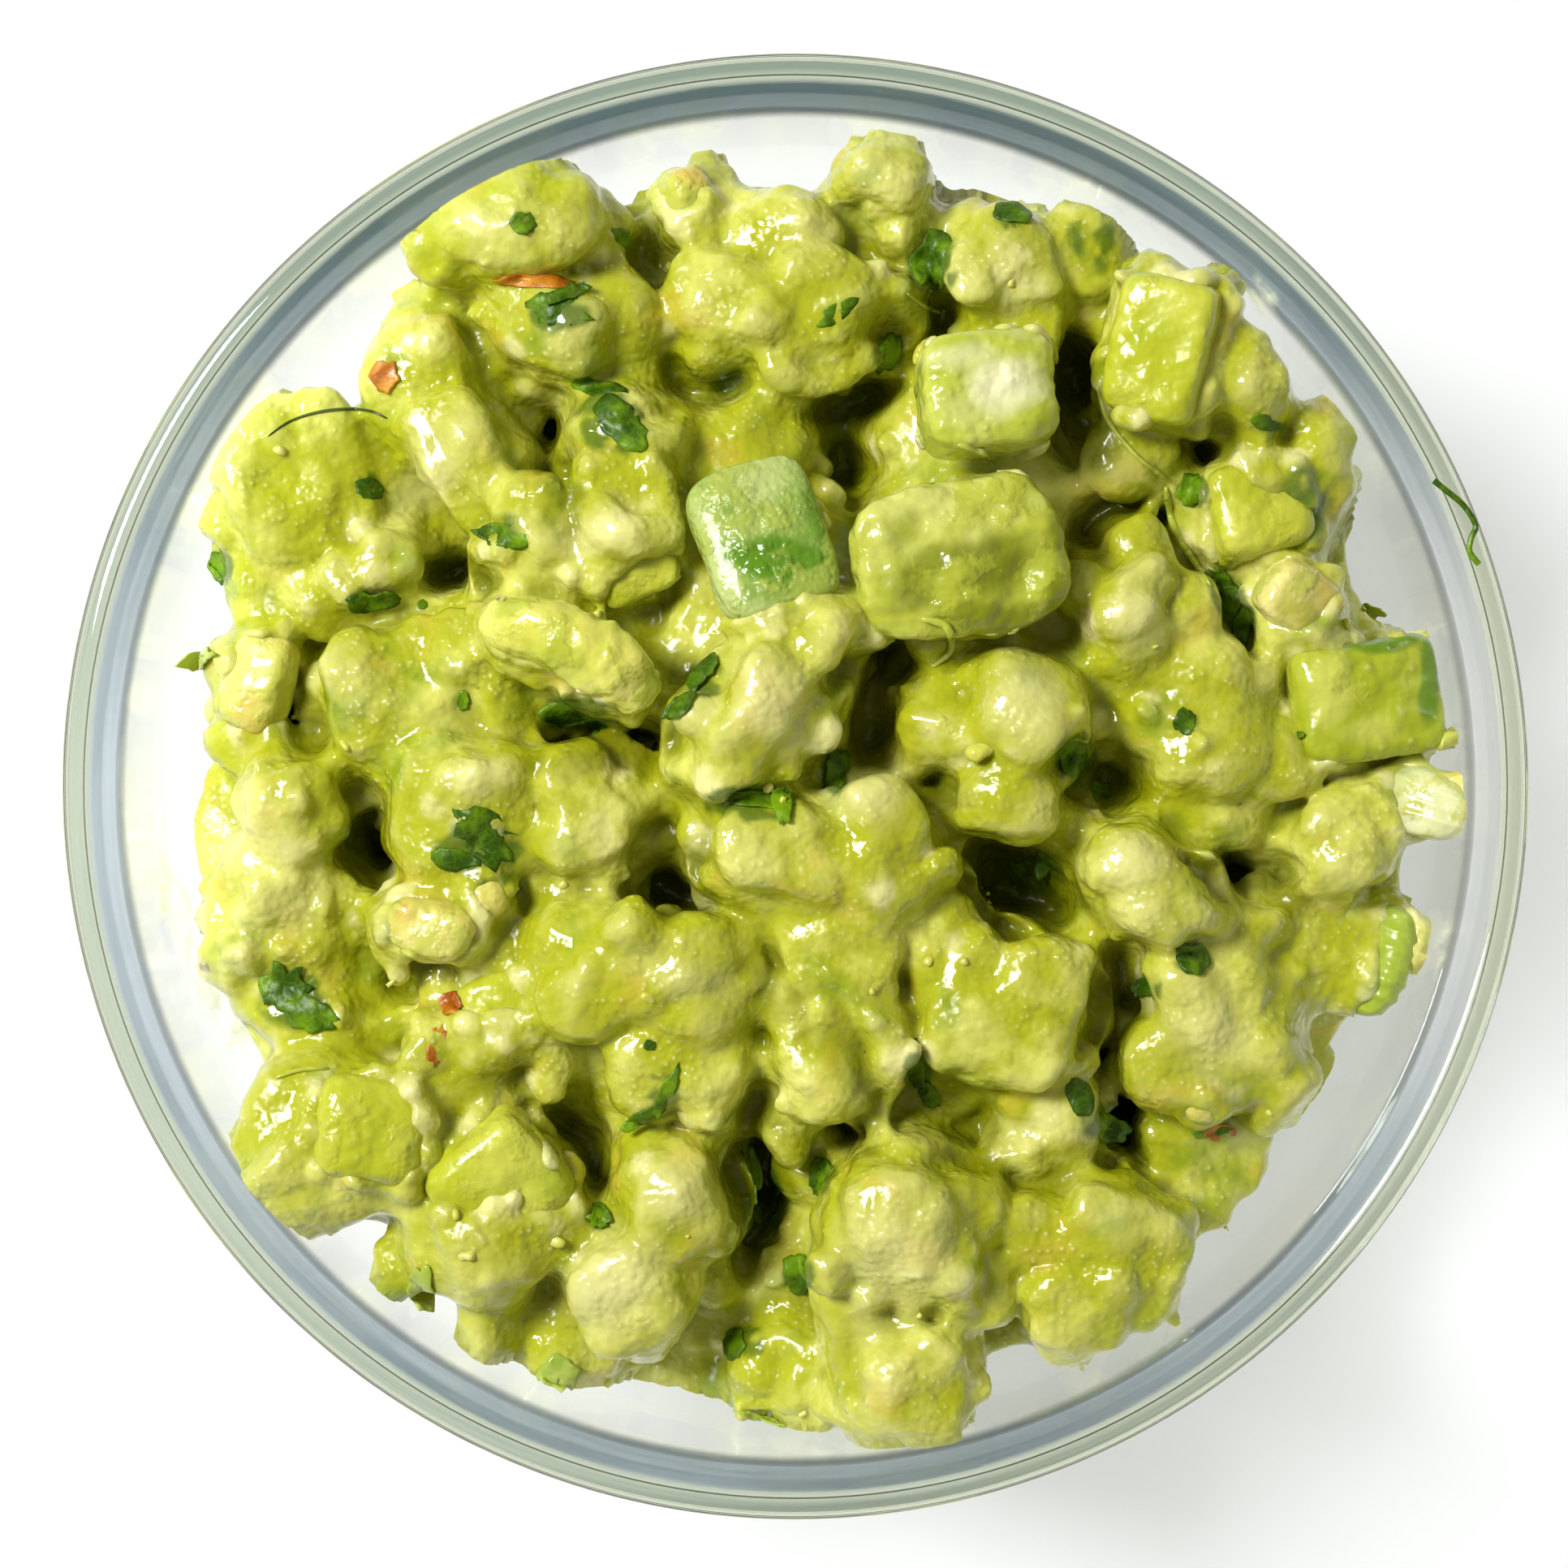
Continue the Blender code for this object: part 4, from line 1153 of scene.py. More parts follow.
@dataclass
class MashHeap:
    """The heap of mash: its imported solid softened, carved at the dark gaps and covered in crushed bits."""

    bowl: GlassBowl
    base_voxel: float = 0.85 * MM
    voxel: float = 0.45 * MM
    squeeze_below: float = 26.0 * MM
    squeeze: float = 0.3
    base_rounds: int = 4
    soften_rounds: int = 3
    gap_depth: float = 4.6 * MM
    gap_spread: float = 1.6
    ragged: float = 34.0
    boldness: float = 0.9
    reach_into_wall: float = 0.06 * MM
    contact: float = 0.9 * MM
    most_triangles: int = 190000
    bed_reach: float = 0.7 * MM
    bed_share: float = 0.35
    dabs_a_piece: int = 34
    bits: tuple[BitRule, ...] = (
        BitRule(Bite.CRUSHED, 110, 1.4 * MM, 3.0 * MM, 3, 11.0 * MM, -0.1, 3),
        BitRule(Bite.CUT, 150, 1.5 * MM, 3.2 * MM, 3, 12.0 * MM, -0.1, 5),
        BitRule(Bite.CRUSHED, 1700, 0.4 * MM, 1.1 * MM, 2, 7.0 * MM, -0.2, 7),
        BitRule(Bite.CUT, 900, 0.5 * MM, 1.3 * MM, 2, 8.0 * MM, -0.2, 11),
    )
    centres: list = field(default_factory=list)

    def build_base(self) -> bpy.types.Object:
        """Softens the node's solid and carves its gaps, ready for bits to be laid on it."""
        made = make_object("mash_heap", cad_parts["guacamole"].data.copy())
        self.squeeze_low(made.data, self.squeeze)
        voxel_remesh(made, self.base_voxel)
        self.squeeze_low(made.data, 1 / self.squeeze)
        points = smoothed(made.data, vertex_array(made.data), self.base_rounds)
        free = self.bowl.inner_radius(points[:, 2]) - np.hypot(points[:, 0], points[:, 1])
        bold = self.boldness * np.clip((free - 1.0 * MM) / (2.0 * MM), 0.0, 1.0)
        points += bold[:, None] * (points - smoothed(made.data, points.copy(), 45))
        set_vertices(made.data, points)
        points = self.shift_outline(points)
        set_vertices(made.data, points)
        upward = np.clip(normal_array(made.data)[:, 2] * 1.4, 0.0, 1.0)
        share = np.clip(marked(self.wide_gaps(), points, self.ragged) * 1.5, 0.0, 1.3)
        points[:, 2] -= self.gap_depth * upward * share
        set_vertices(made.data, smoothed(made.data, points, 2))
        return made

    def wide_gaps(self) -> tuple[Mark, ...]:
        """Returns the gaps' marks, spread to the width of the shade round each gap."""
        spread = self.gap_spread
        return tuple(replace(gap, width=gap.width * spread, height=gap.height * spread) for gap in GAPS)

    def shift_outline(self, points: np.ndarray) -> np.ndarray:
        """Moves the heap's edge out or in where the photograph's outline does."""
        columns, rows = PHOTO.pixels(points)
        move = np.zeros(len(points))
        for mark in OUTLINE_MOVES:
            move += mark.share(columns, rows)
        across = np.hypot(points[:, 0], points[:, 1])
        high = np.clip((points[:, 2] - 21.0 * MM) / (5.0 * MM), 0.0, 1.0)
        scale = 1.0 + move * high * MM / np.maximum(across, 20.0 * MM)
        points[:, 0] *= scale
        points[:, 1] *= scale
        return points

    def squeeze_low(self, mesh: bpy.types.Mesh, factor: float) -> None:
        """Squeezes or stretches the plain lower part, so that it takes fewer faces."""
        points = vertex_array(mesh)
        low = points[:, 2] < self.squeeze_below
        points[low, 2] = self.squeeze_below - (self.squeeze_below - points[low, 2]) * factor
        set_vertices(mesh, points)

    def build(self, made: bpy.types.Object, strands: MeshPile, pieces: list) -> bpy.types.Object:
        """Covers the base in bits and finishes it.

        Args:
            made: The softened base.
            strands: Strands and lumps that melt into the mash.
            pieces: The pieces that lie in it, which get dabs of mash.

        Returns:
            The dressed heap.
        """
        pile = MeshPile()
        pile.add_mesh(made.data)
        pile.add(np.concatenate(strands.points), strands.faces)
        self.coat(pieces, pile)
        self.bed(pieces, made, pile)
        self.fuse_chunks(made, pile)
        for rule in self.bits:
            self.scatter(made.data, rule, pile)
        made.data = pile.mesh("mash heap")
        self.squeeze_low(made.data, self.squeeze)
        voxel_remesh(made, self.voxel)
        self.squeeze_low(made.data, 1 / self.squeeze)
        points = smoothed(made.data, vertex_array(made.data), self.soften_rounds)
        set_vertices(made.data, points)
        points = self.relief(points, normal_array(made.data))
        set_vertices(made.data, points)
        self.thin_out(made)
        mesh = made.data
        points = self.fit_to_glass(vertex_array(mesh))
        set_vertices(mesh, points)
        self.paint(mesh, points)
        mesh.shade_smooth()
        mesh.materials.clear()
        mesh.materials.append(MASH.material())
        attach(made, "root")
        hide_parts("guacamole")
        return made

    def scatter(self, base: bpy.types.Mesh, rule: BitRule, pile: MeshPile) -> None:
        """Lays one kind of bit over the base, thick in nubbly places and none in smooth ones.

        Args:
            base: The mesh to lay bits on.
            rule: The kind of bit.
            pile: Where the bits go.
        """
        random_state = np.random.RandomState(rule.seed)
        base.calc_loop_triangles()
        corners = np.empty(len(base.loop_triangles) * 3, np.int64)
        base.loop_triangles.foreach_get("vertices", corners)
        corners = corners.reshape(-1, 3)
        points = vertex_array(base)
        first, second, third = (points[corners[:, index]] for index in range(3))
        crossed = np.cross(second - first, third - first)
        area = np.linalg.norm(crossed, axis=1)
        upward = crossed[:, 2] / np.maximum(area, 1e-12)
        weight = area * (upward > -0.1) * (first[:, 2] > self.squeeze_below)
        chosen = random_state.choice(len(corners), rule.tries, p=weight / weight.sum())
        middle = (first + second + third)[chosen] / 3
        normal = crossed[chosen] / area[chosen][:, None]
        free = self.bowl.inner_radius(middle[:, 2]) - np.hypot(middle[:, 0], middle[:, 1])
        patch = noise_over(middle, rule.patch_size, rule.seed * 1.7) * 1.6 + rule.patch_bias
        patch += 0.8 * marked(NUBBLY, middle) - 1.8 * marked(SMOOTH, middle)
        patch -= 3.0 * marked(GAPS, middle, self.ragged)
        chance = np.clip(0.3 + patch, 0.02, 1.0) * (free > 1.2 * MM)
        taken = random_state.random_sample(rule.tries) < chance
        ways, faces = BallPattern.round_ball(rule.level)
        for place, way, wall in zip(middle[taken], normal[taken], free[taken]):
            size = rule.smallest + (rule.largest - rule.smallest) * random_state.random_sample() ** 1.8
            size = min(size, wall)
            stretch = random_state.uniform(0.7, 1.35, 3)
            turns = tuple(random_state.uniform(-180, 180, 3))
            centre = place + way * size * random_state.uniform(-0.6, 0.35)
            sides = tuple(2 * size * stretch / MM)
            shape = CutShape(Vector(centre), sides, turns, rule.bite.value, 0.16 * size)
            pile.add(shape.points(ways), faces)
            self.centres.append((centre, size, random_state.random_sample()))

    def coat(self, pieces: list[bpy.types.Object], pile: MeshPile) -> None:
        """Leaves dabs of mash on the pieces that lie in it.

        Args:
            pieces: The pieces.
            pile: Where the dabs go.
        """
        random_state = np.random.RandomState(31)
        ways, faces = BallPattern.round_ball(2)
        for piece in pieces:
            mesh = piece.data
            points, normals = vertex_array(mesh), normal_array(mesh)
            count = min(len(points), self.dabs_a_piece * len(points) // 2000)
            picked = random_state.choice(len(points), count)
            patch = noise_over(points[picked], 4.0 * MM, 57.0)
            for index, share in zip(picked, patch):
                lean = normals[index][2]
                if share < 0.05 + 0.75 * max(lean, 0.0) or lean < -0.3:
                    continue
                size = random_state.uniform(0.5, 1.2) * MM
                turn = Vector(normals[index]).to_track_quat("Z", "Y").to_euler()
                flat = (2.4 * size / MM, 2.8 * size / MM, 1.0 * size / MM)
                turns = tuple(math.degrees(value) for value in turn)
                place = Vector(points[index] - normals[index] * 0.1 * MM)
                pile.add(CutShape(place, flat, turns, 2.4, 0.2 * size).points(ways), faces)
                self.centres.append((tuple(place), size, random_state.random_sample()))

    def bed(self, pieces: list[bpy.types.Object], made: bpy.types.Object, pile: MeshPile) -> None:
        """Draws mash up round the pieces where they sink into it.

        Args:
            pieces: The pieces.
            made: The softened base that they lie in.
            pile: Where the fillets of mash go.
        """
        random_state = np.random.RandomState(47)
        surface = Surface([made])
        ways, faces = BallPattern.round_ball(2)
        for piece in pieces:
            points = vertex_array(piece.data)
            for index in random_state.permutation(len(points))[: len(points) // 3]:
                place = Vector(points[index])
                _, _, _, away = surface.tree.find_nearest(place)
                if away > self.bed_reach or random_state.random_sample() > self.bed_share:
                    continue
                size = random_state.uniform(0.5, 1.25) * MM
                turns = tuple(random_state.uniform(-180, 180, 3))
                stretch = tuple(2 * size * random_state.uniform(0.7, 1.4, 3) / MM)
                pile.add(CutShape(place, stretch, turns, 2.3, 0.2 * size).points(ways), faces)
                self.centres.append((tuple(place), size, random_state.random_sample()))

    def fuse_chunks(self, made: bpy.types.Object, pile: MeshPile) -> None:
        """Sets the larger chunks, coated in mash, half into the base."""
        surface = Surface([made])
        ways, faces = BallPattern.square_ball(18)
        for chunk in coated_chunks():
            found = surface.under_pixel(chunk.column, chunk.row)
            if found is None:
                continue
            place = found[0] + Vector((0.0, 0.0, chunk.rise_mm * MM - chunk.size_mm[2] * MM / 2))
            shape = CutShape(
                place, chunk.size_mm, chunk.turns, chunk.squareness, 1.0 * MM, 0.0, chunk.taper, chunk.bend,
            )
            points = shape.points(ways)
            self.bowl.keep_in(points, -0.1 * MM)
            pile.add(points, faces)

    def thin_out(self, made: bpy.types.Object) -> None:
        """Thins out the flattest faces until the heap keeps to its triangle count."""
        made.data.calc_loop_triangles()
        count = len(made.data.loop_triangles)
        if count <= self.most_triangles:
            return
        step = made.modifiers.new("Thin out", "DECIMATE")
        step.ratio = self.most_triangles / count
        apply_modifiers(made)

    def relief(self, points: np.ndarray, normals: np.ndarray) -> np.ndarray:
        """Adds small unevenness: swells, creases and a fine grain."""
        free = self.bowl.inner_radius(points[:, 2]) - np.hypot(points[:, 0], points[:, 1])
        open_share = np.clip(free / (2.0 * MM), 0.1, 1.0) * np.clip((normals[:, 2] + 0.9) / 0.5, 0.0, 1.0)
        swell = 0.5 * MM * noise_over(points, 5.0 * MM, 3.0) + 0.28 * MM * noise_over(points, 2.4 * MM, 11.0)
        grain = 0.09 * MM * noise_over(points, 1.2 * MM, 23.0)
        return points + normals * ((swell + grain) * open_share)[:, None]

    def paint(self, mesh: bpy.types.Mesh, points: np.ndarray) -> None:
        """Notes for the finish how hollow each place is, which it paints as shade, how pale its bit is and
        where herbs stain it.

        Args:
            mesh: The finished mesh.
            points: Its places.
        """
        # The hollow mask, from creases and the listed gaps, is painted as shade; below zero, on ridges, it
        # is painted as a highlight.
        near = smoothed(mesh, points.copy(), 26)[:, 2] - points[:, 2]
        wide = smoothed(mesh, points.copy(), 160)[:, 2] - points[:, 2]
        hollow = np.clip(near / (1.0 * MM), -1.0, 1.0) * 0.45 + np.clip(wide / (2.4 * MM), -1.0, 1.0) * 0.55
        gaps = np.clip(marked(self.wide_gaps(), points, self.ragged), 0.0, 1.0)
        hollow = np.clip(hollow + 0.7 * gaps ** 1.1, -1.0, 1.6)
        tree = KDTree(len(self.centres))
        for index, (centre, _, _) in enumerate(self.centres):
            tree.insert(centre, index)
        tree.balance()
        paleness = np.zeros(len(points))
        for index, place in enumerate(points):
            _, found, distance = tree.find(place)
            _, size, tone = self.centres[found]
            if distance < size * 1.5:
                paleness[index] = tone * 2 - 0.8
        paleness = smoothed(mesh, np.repeat(paleness[:, None], 3, axis=1), 2)[:, 0]
        paleness = np.maximum(paleness, 1.15 * marked(PALE_PLACES, points, 24.0))
        stain = marked(STAINS, points) * np.clip(0.9 + 1.6 * noise_over(points, 1.6 * MM, 41.0), 0.0, 1.4)
        note(mesh, "hollow", hollow)
        note(mesh, "paleness", paleness)
        note(mesh, "stain", np.clip(stain * 1.6, 0.0, 1.0))

    def fit_to_glass(self, points: np.ndarray) -> np.ndarray:
        """Presses the surface just into the wall where it lies against the glass and on the bowl's floor."""
        across = np.hypot(points[:, 0], points[:, 1])
        wall = self.bowl.inner_radius(points[:, 2])
        pressed = wall - across < self.contact
        target = wall + self.reach_into_wall
        scale = np.where(pressed & (across > 1.0 * MM), target / np.maximum(across, 1e-6), 1.0)
        points[:, 0] *= scale
        points[:, 1] *= scale
        sunk = points[:, 2] < self.bowl.floor + self.contact
        points[sunk, 2] = self.bowl.floor - self.reach_into_wall
        return points


def melted_strands(base: Surface) -> MeshPile:
    """Builds the smooth strands and ropes that melt into the mash.

    Args:
        base: The heap's softened surface.

    Returns:
        The strands' shapes.
    """
    pile = MeshPile()
    for path in (
        [
            (1200, 604, 2.6, 1.0), (1145, 628, 3.6, 1.3), (1105, 680, 3.6, 1.5), (1060, 735, 2.2, 1.8),
            (1005, 790, 0.4, 2.1),
        ],
        [(935, 430, 0.6, 1.5), (980, 470, 1.0, 1.7), (1040, 460, 0.8, 1.4), (1100, 420, 0.4, 1.2)],
        [(720, 600, 0.8, 2.0), (760, 660, 1.2, 2.2), (820, 650, 0.8, 1.8), (800, 560, 0.4, 1.5)],
        [(560, 500, 0.6, 2.4), (600, 580, 1.0, 2.2), (650, 640, 0.8, 1.8), (690, 690, 0.6, 1.5)],
        [(1440, 1100, 0.8, 1.6), (1490, 1130, 0.9, 1.5), (1560, 1120, 0.6, 1.3)],
        [(1010, 1230, 0.3, 2.1), (1040, 1300, 0.4, 1.9), (1090, 1400, 0.3, 1.6)],
        [(1690, 1010, 0.4, 1.3), (1650, 1060, 0.8, 1.4), (1590, 1120, 0.6, 1.2)],
    ):
        pile.add(*strand_shape(rested_line(path, base, 6), 12, 0.8))
    return pile


def rested_line(path: list[tuple], base: Surface, between: int) -> np.ndarray:
    """Lays a line of pixels, rises and radii on a surface.

    Args:
        path: Column, row, rise in mm and radius in mm of each place.
        base: The surface.
        between: How many steps each stretch gets.

    Returns:
        Places along the line, each with its radius.
    """
    drawn = path_points(path, between)
    laid, last = [], None
    for column, row, rise, radius in drawn:
        found = base.under_pixel(column, row)
        if found is not None:
            last = found[0]
        place = last if found is None else found[0]
        laid.append((place.x, place.y, place.z + rise * MM, radius * MM))
    line = np.array(laid)
    for _ in range(3):
        line[1:-1, 2] = (line[:-2, 2] + 2 * line[1:-1, 2] + line[2:, 2]) / 4
    ends = np.minimum(np.arange(len(line)), np.arange(len(line))[::-1]) + 0.35
    line[:, 3] *= np.clip(ends / 2.5, 0.2, 1.0) ** 0.5
    return line


# Diced and torn pieces


@dataclass
class DicedPiece:
    """A separate cut piece that replaces its own node."""

    name: str
    node: str
    place_mm: tuple[float, float, float]
    size_mm: tuple[float, float, float]
    turns: tuple[float, float, float]
    finish: FruitFinish
    slot: str
    squareness: float = 7.0
    uneven: float = 0.35 * MM
    taper: float = 0.0
    bend: float = 0.0
    rib: float = 0.0
    swell: float = 0.3 * MM
    cuts: int = 34
    # Marks of painted light on lit faces, partly the flesh's own pale patches, and of painted shade on
    # shaded faces.
    light: tuple[Mark, ...] = ()
    painted_shade: tuple[Mark, ...] = ()

    def build(self, bowl: GlassBowl) -> bpy.types.Object:
        """Builds the piece, keeps it within the glass and dresses it.

        Args:
            bowl: The bowl that the piece stays within.

        Returns:
            The dressed piece.
        """
        ways, faces = BallPattern.square_ball(self.cuts)
        place = Vector(self.place_mm) * MM
        shape = CutShape(
            place, self.size_mm, self.turns, self.squareness, self.uneven, self.swell, self.taper, self.bend,
            self.rib,
        )
        points = shape.points(ways)
        bowl.keep_in(points, 0.05 * MM)
        pile = MeshPile()
        pile.add(points, faces)
        made = make_object(self.name, pile.mesh(self.name), self.finish.material())
        # The face attribute carries the marks' painted light and painted shade.
        note(made.data, "face", marked(self.light, points, 14.0) - marked(self.painted_shade, points, 14.0))
        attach(made, "root")
        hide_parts(self.node)
        return made


def diced_pieces() -> list[DicedPiece]:
    """Lists the separate pieces that replace nodes."""
    # The marks on each piece paint light on its lit faces and shade on its shaded faces.
    return [
        DicedPiece("pepper_slab", "pepper_piece", (-2.6, 20.4, 46.0), (10.0, 12.6, 3.4), (-14, 8, 17),
                   PEPPER, "green_pepper", squareness=5.5, uneven=0.3 * MM, bend=-0.12,
                   light=(Mark(878, 700, 70, 220, -14, 1.1), Mark(940, 760, 170, 50, 6, 0.7),
                          Mark(930, 592, 90, 70, 0, 0.9), Mark(975, 560, 60, 50, 0, 0.8)),
                   painted_shade=(Mark(968, 694, 180, 84, 8, 1.1), Mark(1008, 640, 44, 140, -14, 0.6))),
        DicedPiece("onion_dice", "onion_cube", (15.8, 32.5, 44.8), (11.0, 9.5, 8.0), (-6, 5, 4),
                   ONION, "onion", squareness=5.0, uneven=0.5 * MM, rib=0.12 * MM,
                   light=(Mark(1242, 476, 130, 104, -8, 0.8), Mark(1180, 505, 120, 90, -6, 0.3),
                          Mark(1190, 440, 150, 50, -6, 0.45)),
                   painted_shade=(Mark(1295, 540, 46, 100, 0, 0.8),)),
        DicedPiece("onion_layer", "onion_slab", (13.4, 18.8, 45.0), (17.0, 12.6, 5.5), (4, 6, 8),
                   ONION_LAYER, "onion", squareness=4.2, uneven=0.9 * MM, rib=0.08 * MM, bend=0.08,
                   light=(Mark(1150, 605, 220, 100, -14, 0.8), Mark(1085, 650, 60, 80, 0, 0.4),
                          Mark(1290, 610, 70, 50, 0, 0.4)),
                   painted_shade=(Mark(1190, 705, 260, 110, -14, 0.9), Mark(1230, 765, 220, 70, 0, 0.8),
                         Mark(1315, 700, 80, 210, 0, 1.2))),
        DicedPiece("green_skinned_block", "green_block", (47.8, 7.2, 35.8), (12.5, 9.5, 8.0), (0, 12, 8),
                   GREEN_FLESH, "avocado", uneven=0.5 * MM,
                   light=(Mark(1640, 850, 60, 110, 0, 0.8), Mark(1690, 900, 110, 50, 0, 0.6)),
                   painted_shade=(Mark(1765, 830, 40, 160, 4, 1.2), Mark(1710, 790, 150, 40, -8, 1.0))),
        DicedPiece("onion_on_the_glass", "onion_edge_piece", (53.3, -1.6, 37.5), (8.0, 6.0, 4.0),
                   (0, -30, -20), ONION_WHITE, "onion", squareness=3.0, rib=0.15 * MM, taper=0.3),
        DicedPiece("ribbed_leaf_piece", "leaf_segment", (49.5, -14.8, 33.6), (6.5, 9.5, 3.0), (0, -48, -16),
                   LEAF_RIB, "leaf", squareness=3.0, uneven=0.5 * MM, rib=0.18 * MM),
    ]


@dataclass(frozen=True)
class SunkBit:
    """A bit that lies half sunk in the mash under a pixel of the photograph."""

    column: float
    row: float
    size_mm: tuple[float, float, float]
    turns: tuple[float, float, float]
    rise_mm: float
    squareness: float = 5.0
    taper: float = 0.0
    bend: float = 0.0


@dataclass
class SunkBits:
    """Bits of one finish, half sunk in the mash, built as one piece."""

    name: str
    finish: FruitFinish
    slot: str
    bits: list[SunkBit]
    uneven: float = 0.3 * MM
    cuts: int = 14

    def build(self, base: Surface, bowl: GlassBowl) -> bpy.types.Object:
        """Lays every bit on the mash.

        Args:
            base: The heap's surface.
            bowl: The bowl that the bits stay within.

        Returns:
            The dressed piece.
        """
        pile = MeshPile()
        ways, faces = BallPattern.square_ball(self.cuts)
        for bit in self.bits:
            found = base.under_pixel(bit.column, bit.row)
            if found is None:
                continue
            place = found[0] + Vector((0.0, 0.0, bit.rise_mm * MM - bit.size_mm[2] * MM / 2))
            shape = CutShape(
                place, bit.size_mm, bit.turns, bit.squareness, self.uneven, 0.0, bit.taper, bit.bend,
            )
            points = shape.points(ways)
            bowl.keep_in(points, -0.1 * MM)
            pile.add(points, faces)
        made = make_object(self.name, pile.mesh(self.name), self.finish.material())
        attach(made, "root")
        return made


def avocado_chunks() -> SunkBits:
    """Lists the avocado cubes that show smooth cut faces."""
    return SunkBits("avocado_chunks", AVOCADO, "avocado", [SunkBit(*row) for row in (
        (1440, 425, (8.4, 12, 9), (8, -14, -14), 1.3, 6.5),
        (1548, 630, (8.5, 8, 8), (-8, 10, 12), 1.1, 5.5), (610, 1450, (10.5, 10, 9), (16, -8, 38), 1, 5),
        (450, 1395, (9.5, 9, 8.5), (-6, 10, -8), 1.3, 4.2), (620, 1250, (8, 7, 5), (0, 0, 20), 0.7, 4),
        (780, 690, (7.4, 6.4, 5.5), (10, -10, 24), 1.1, 4.6),
    )], uneven=0.4 * MM, cuts=18)


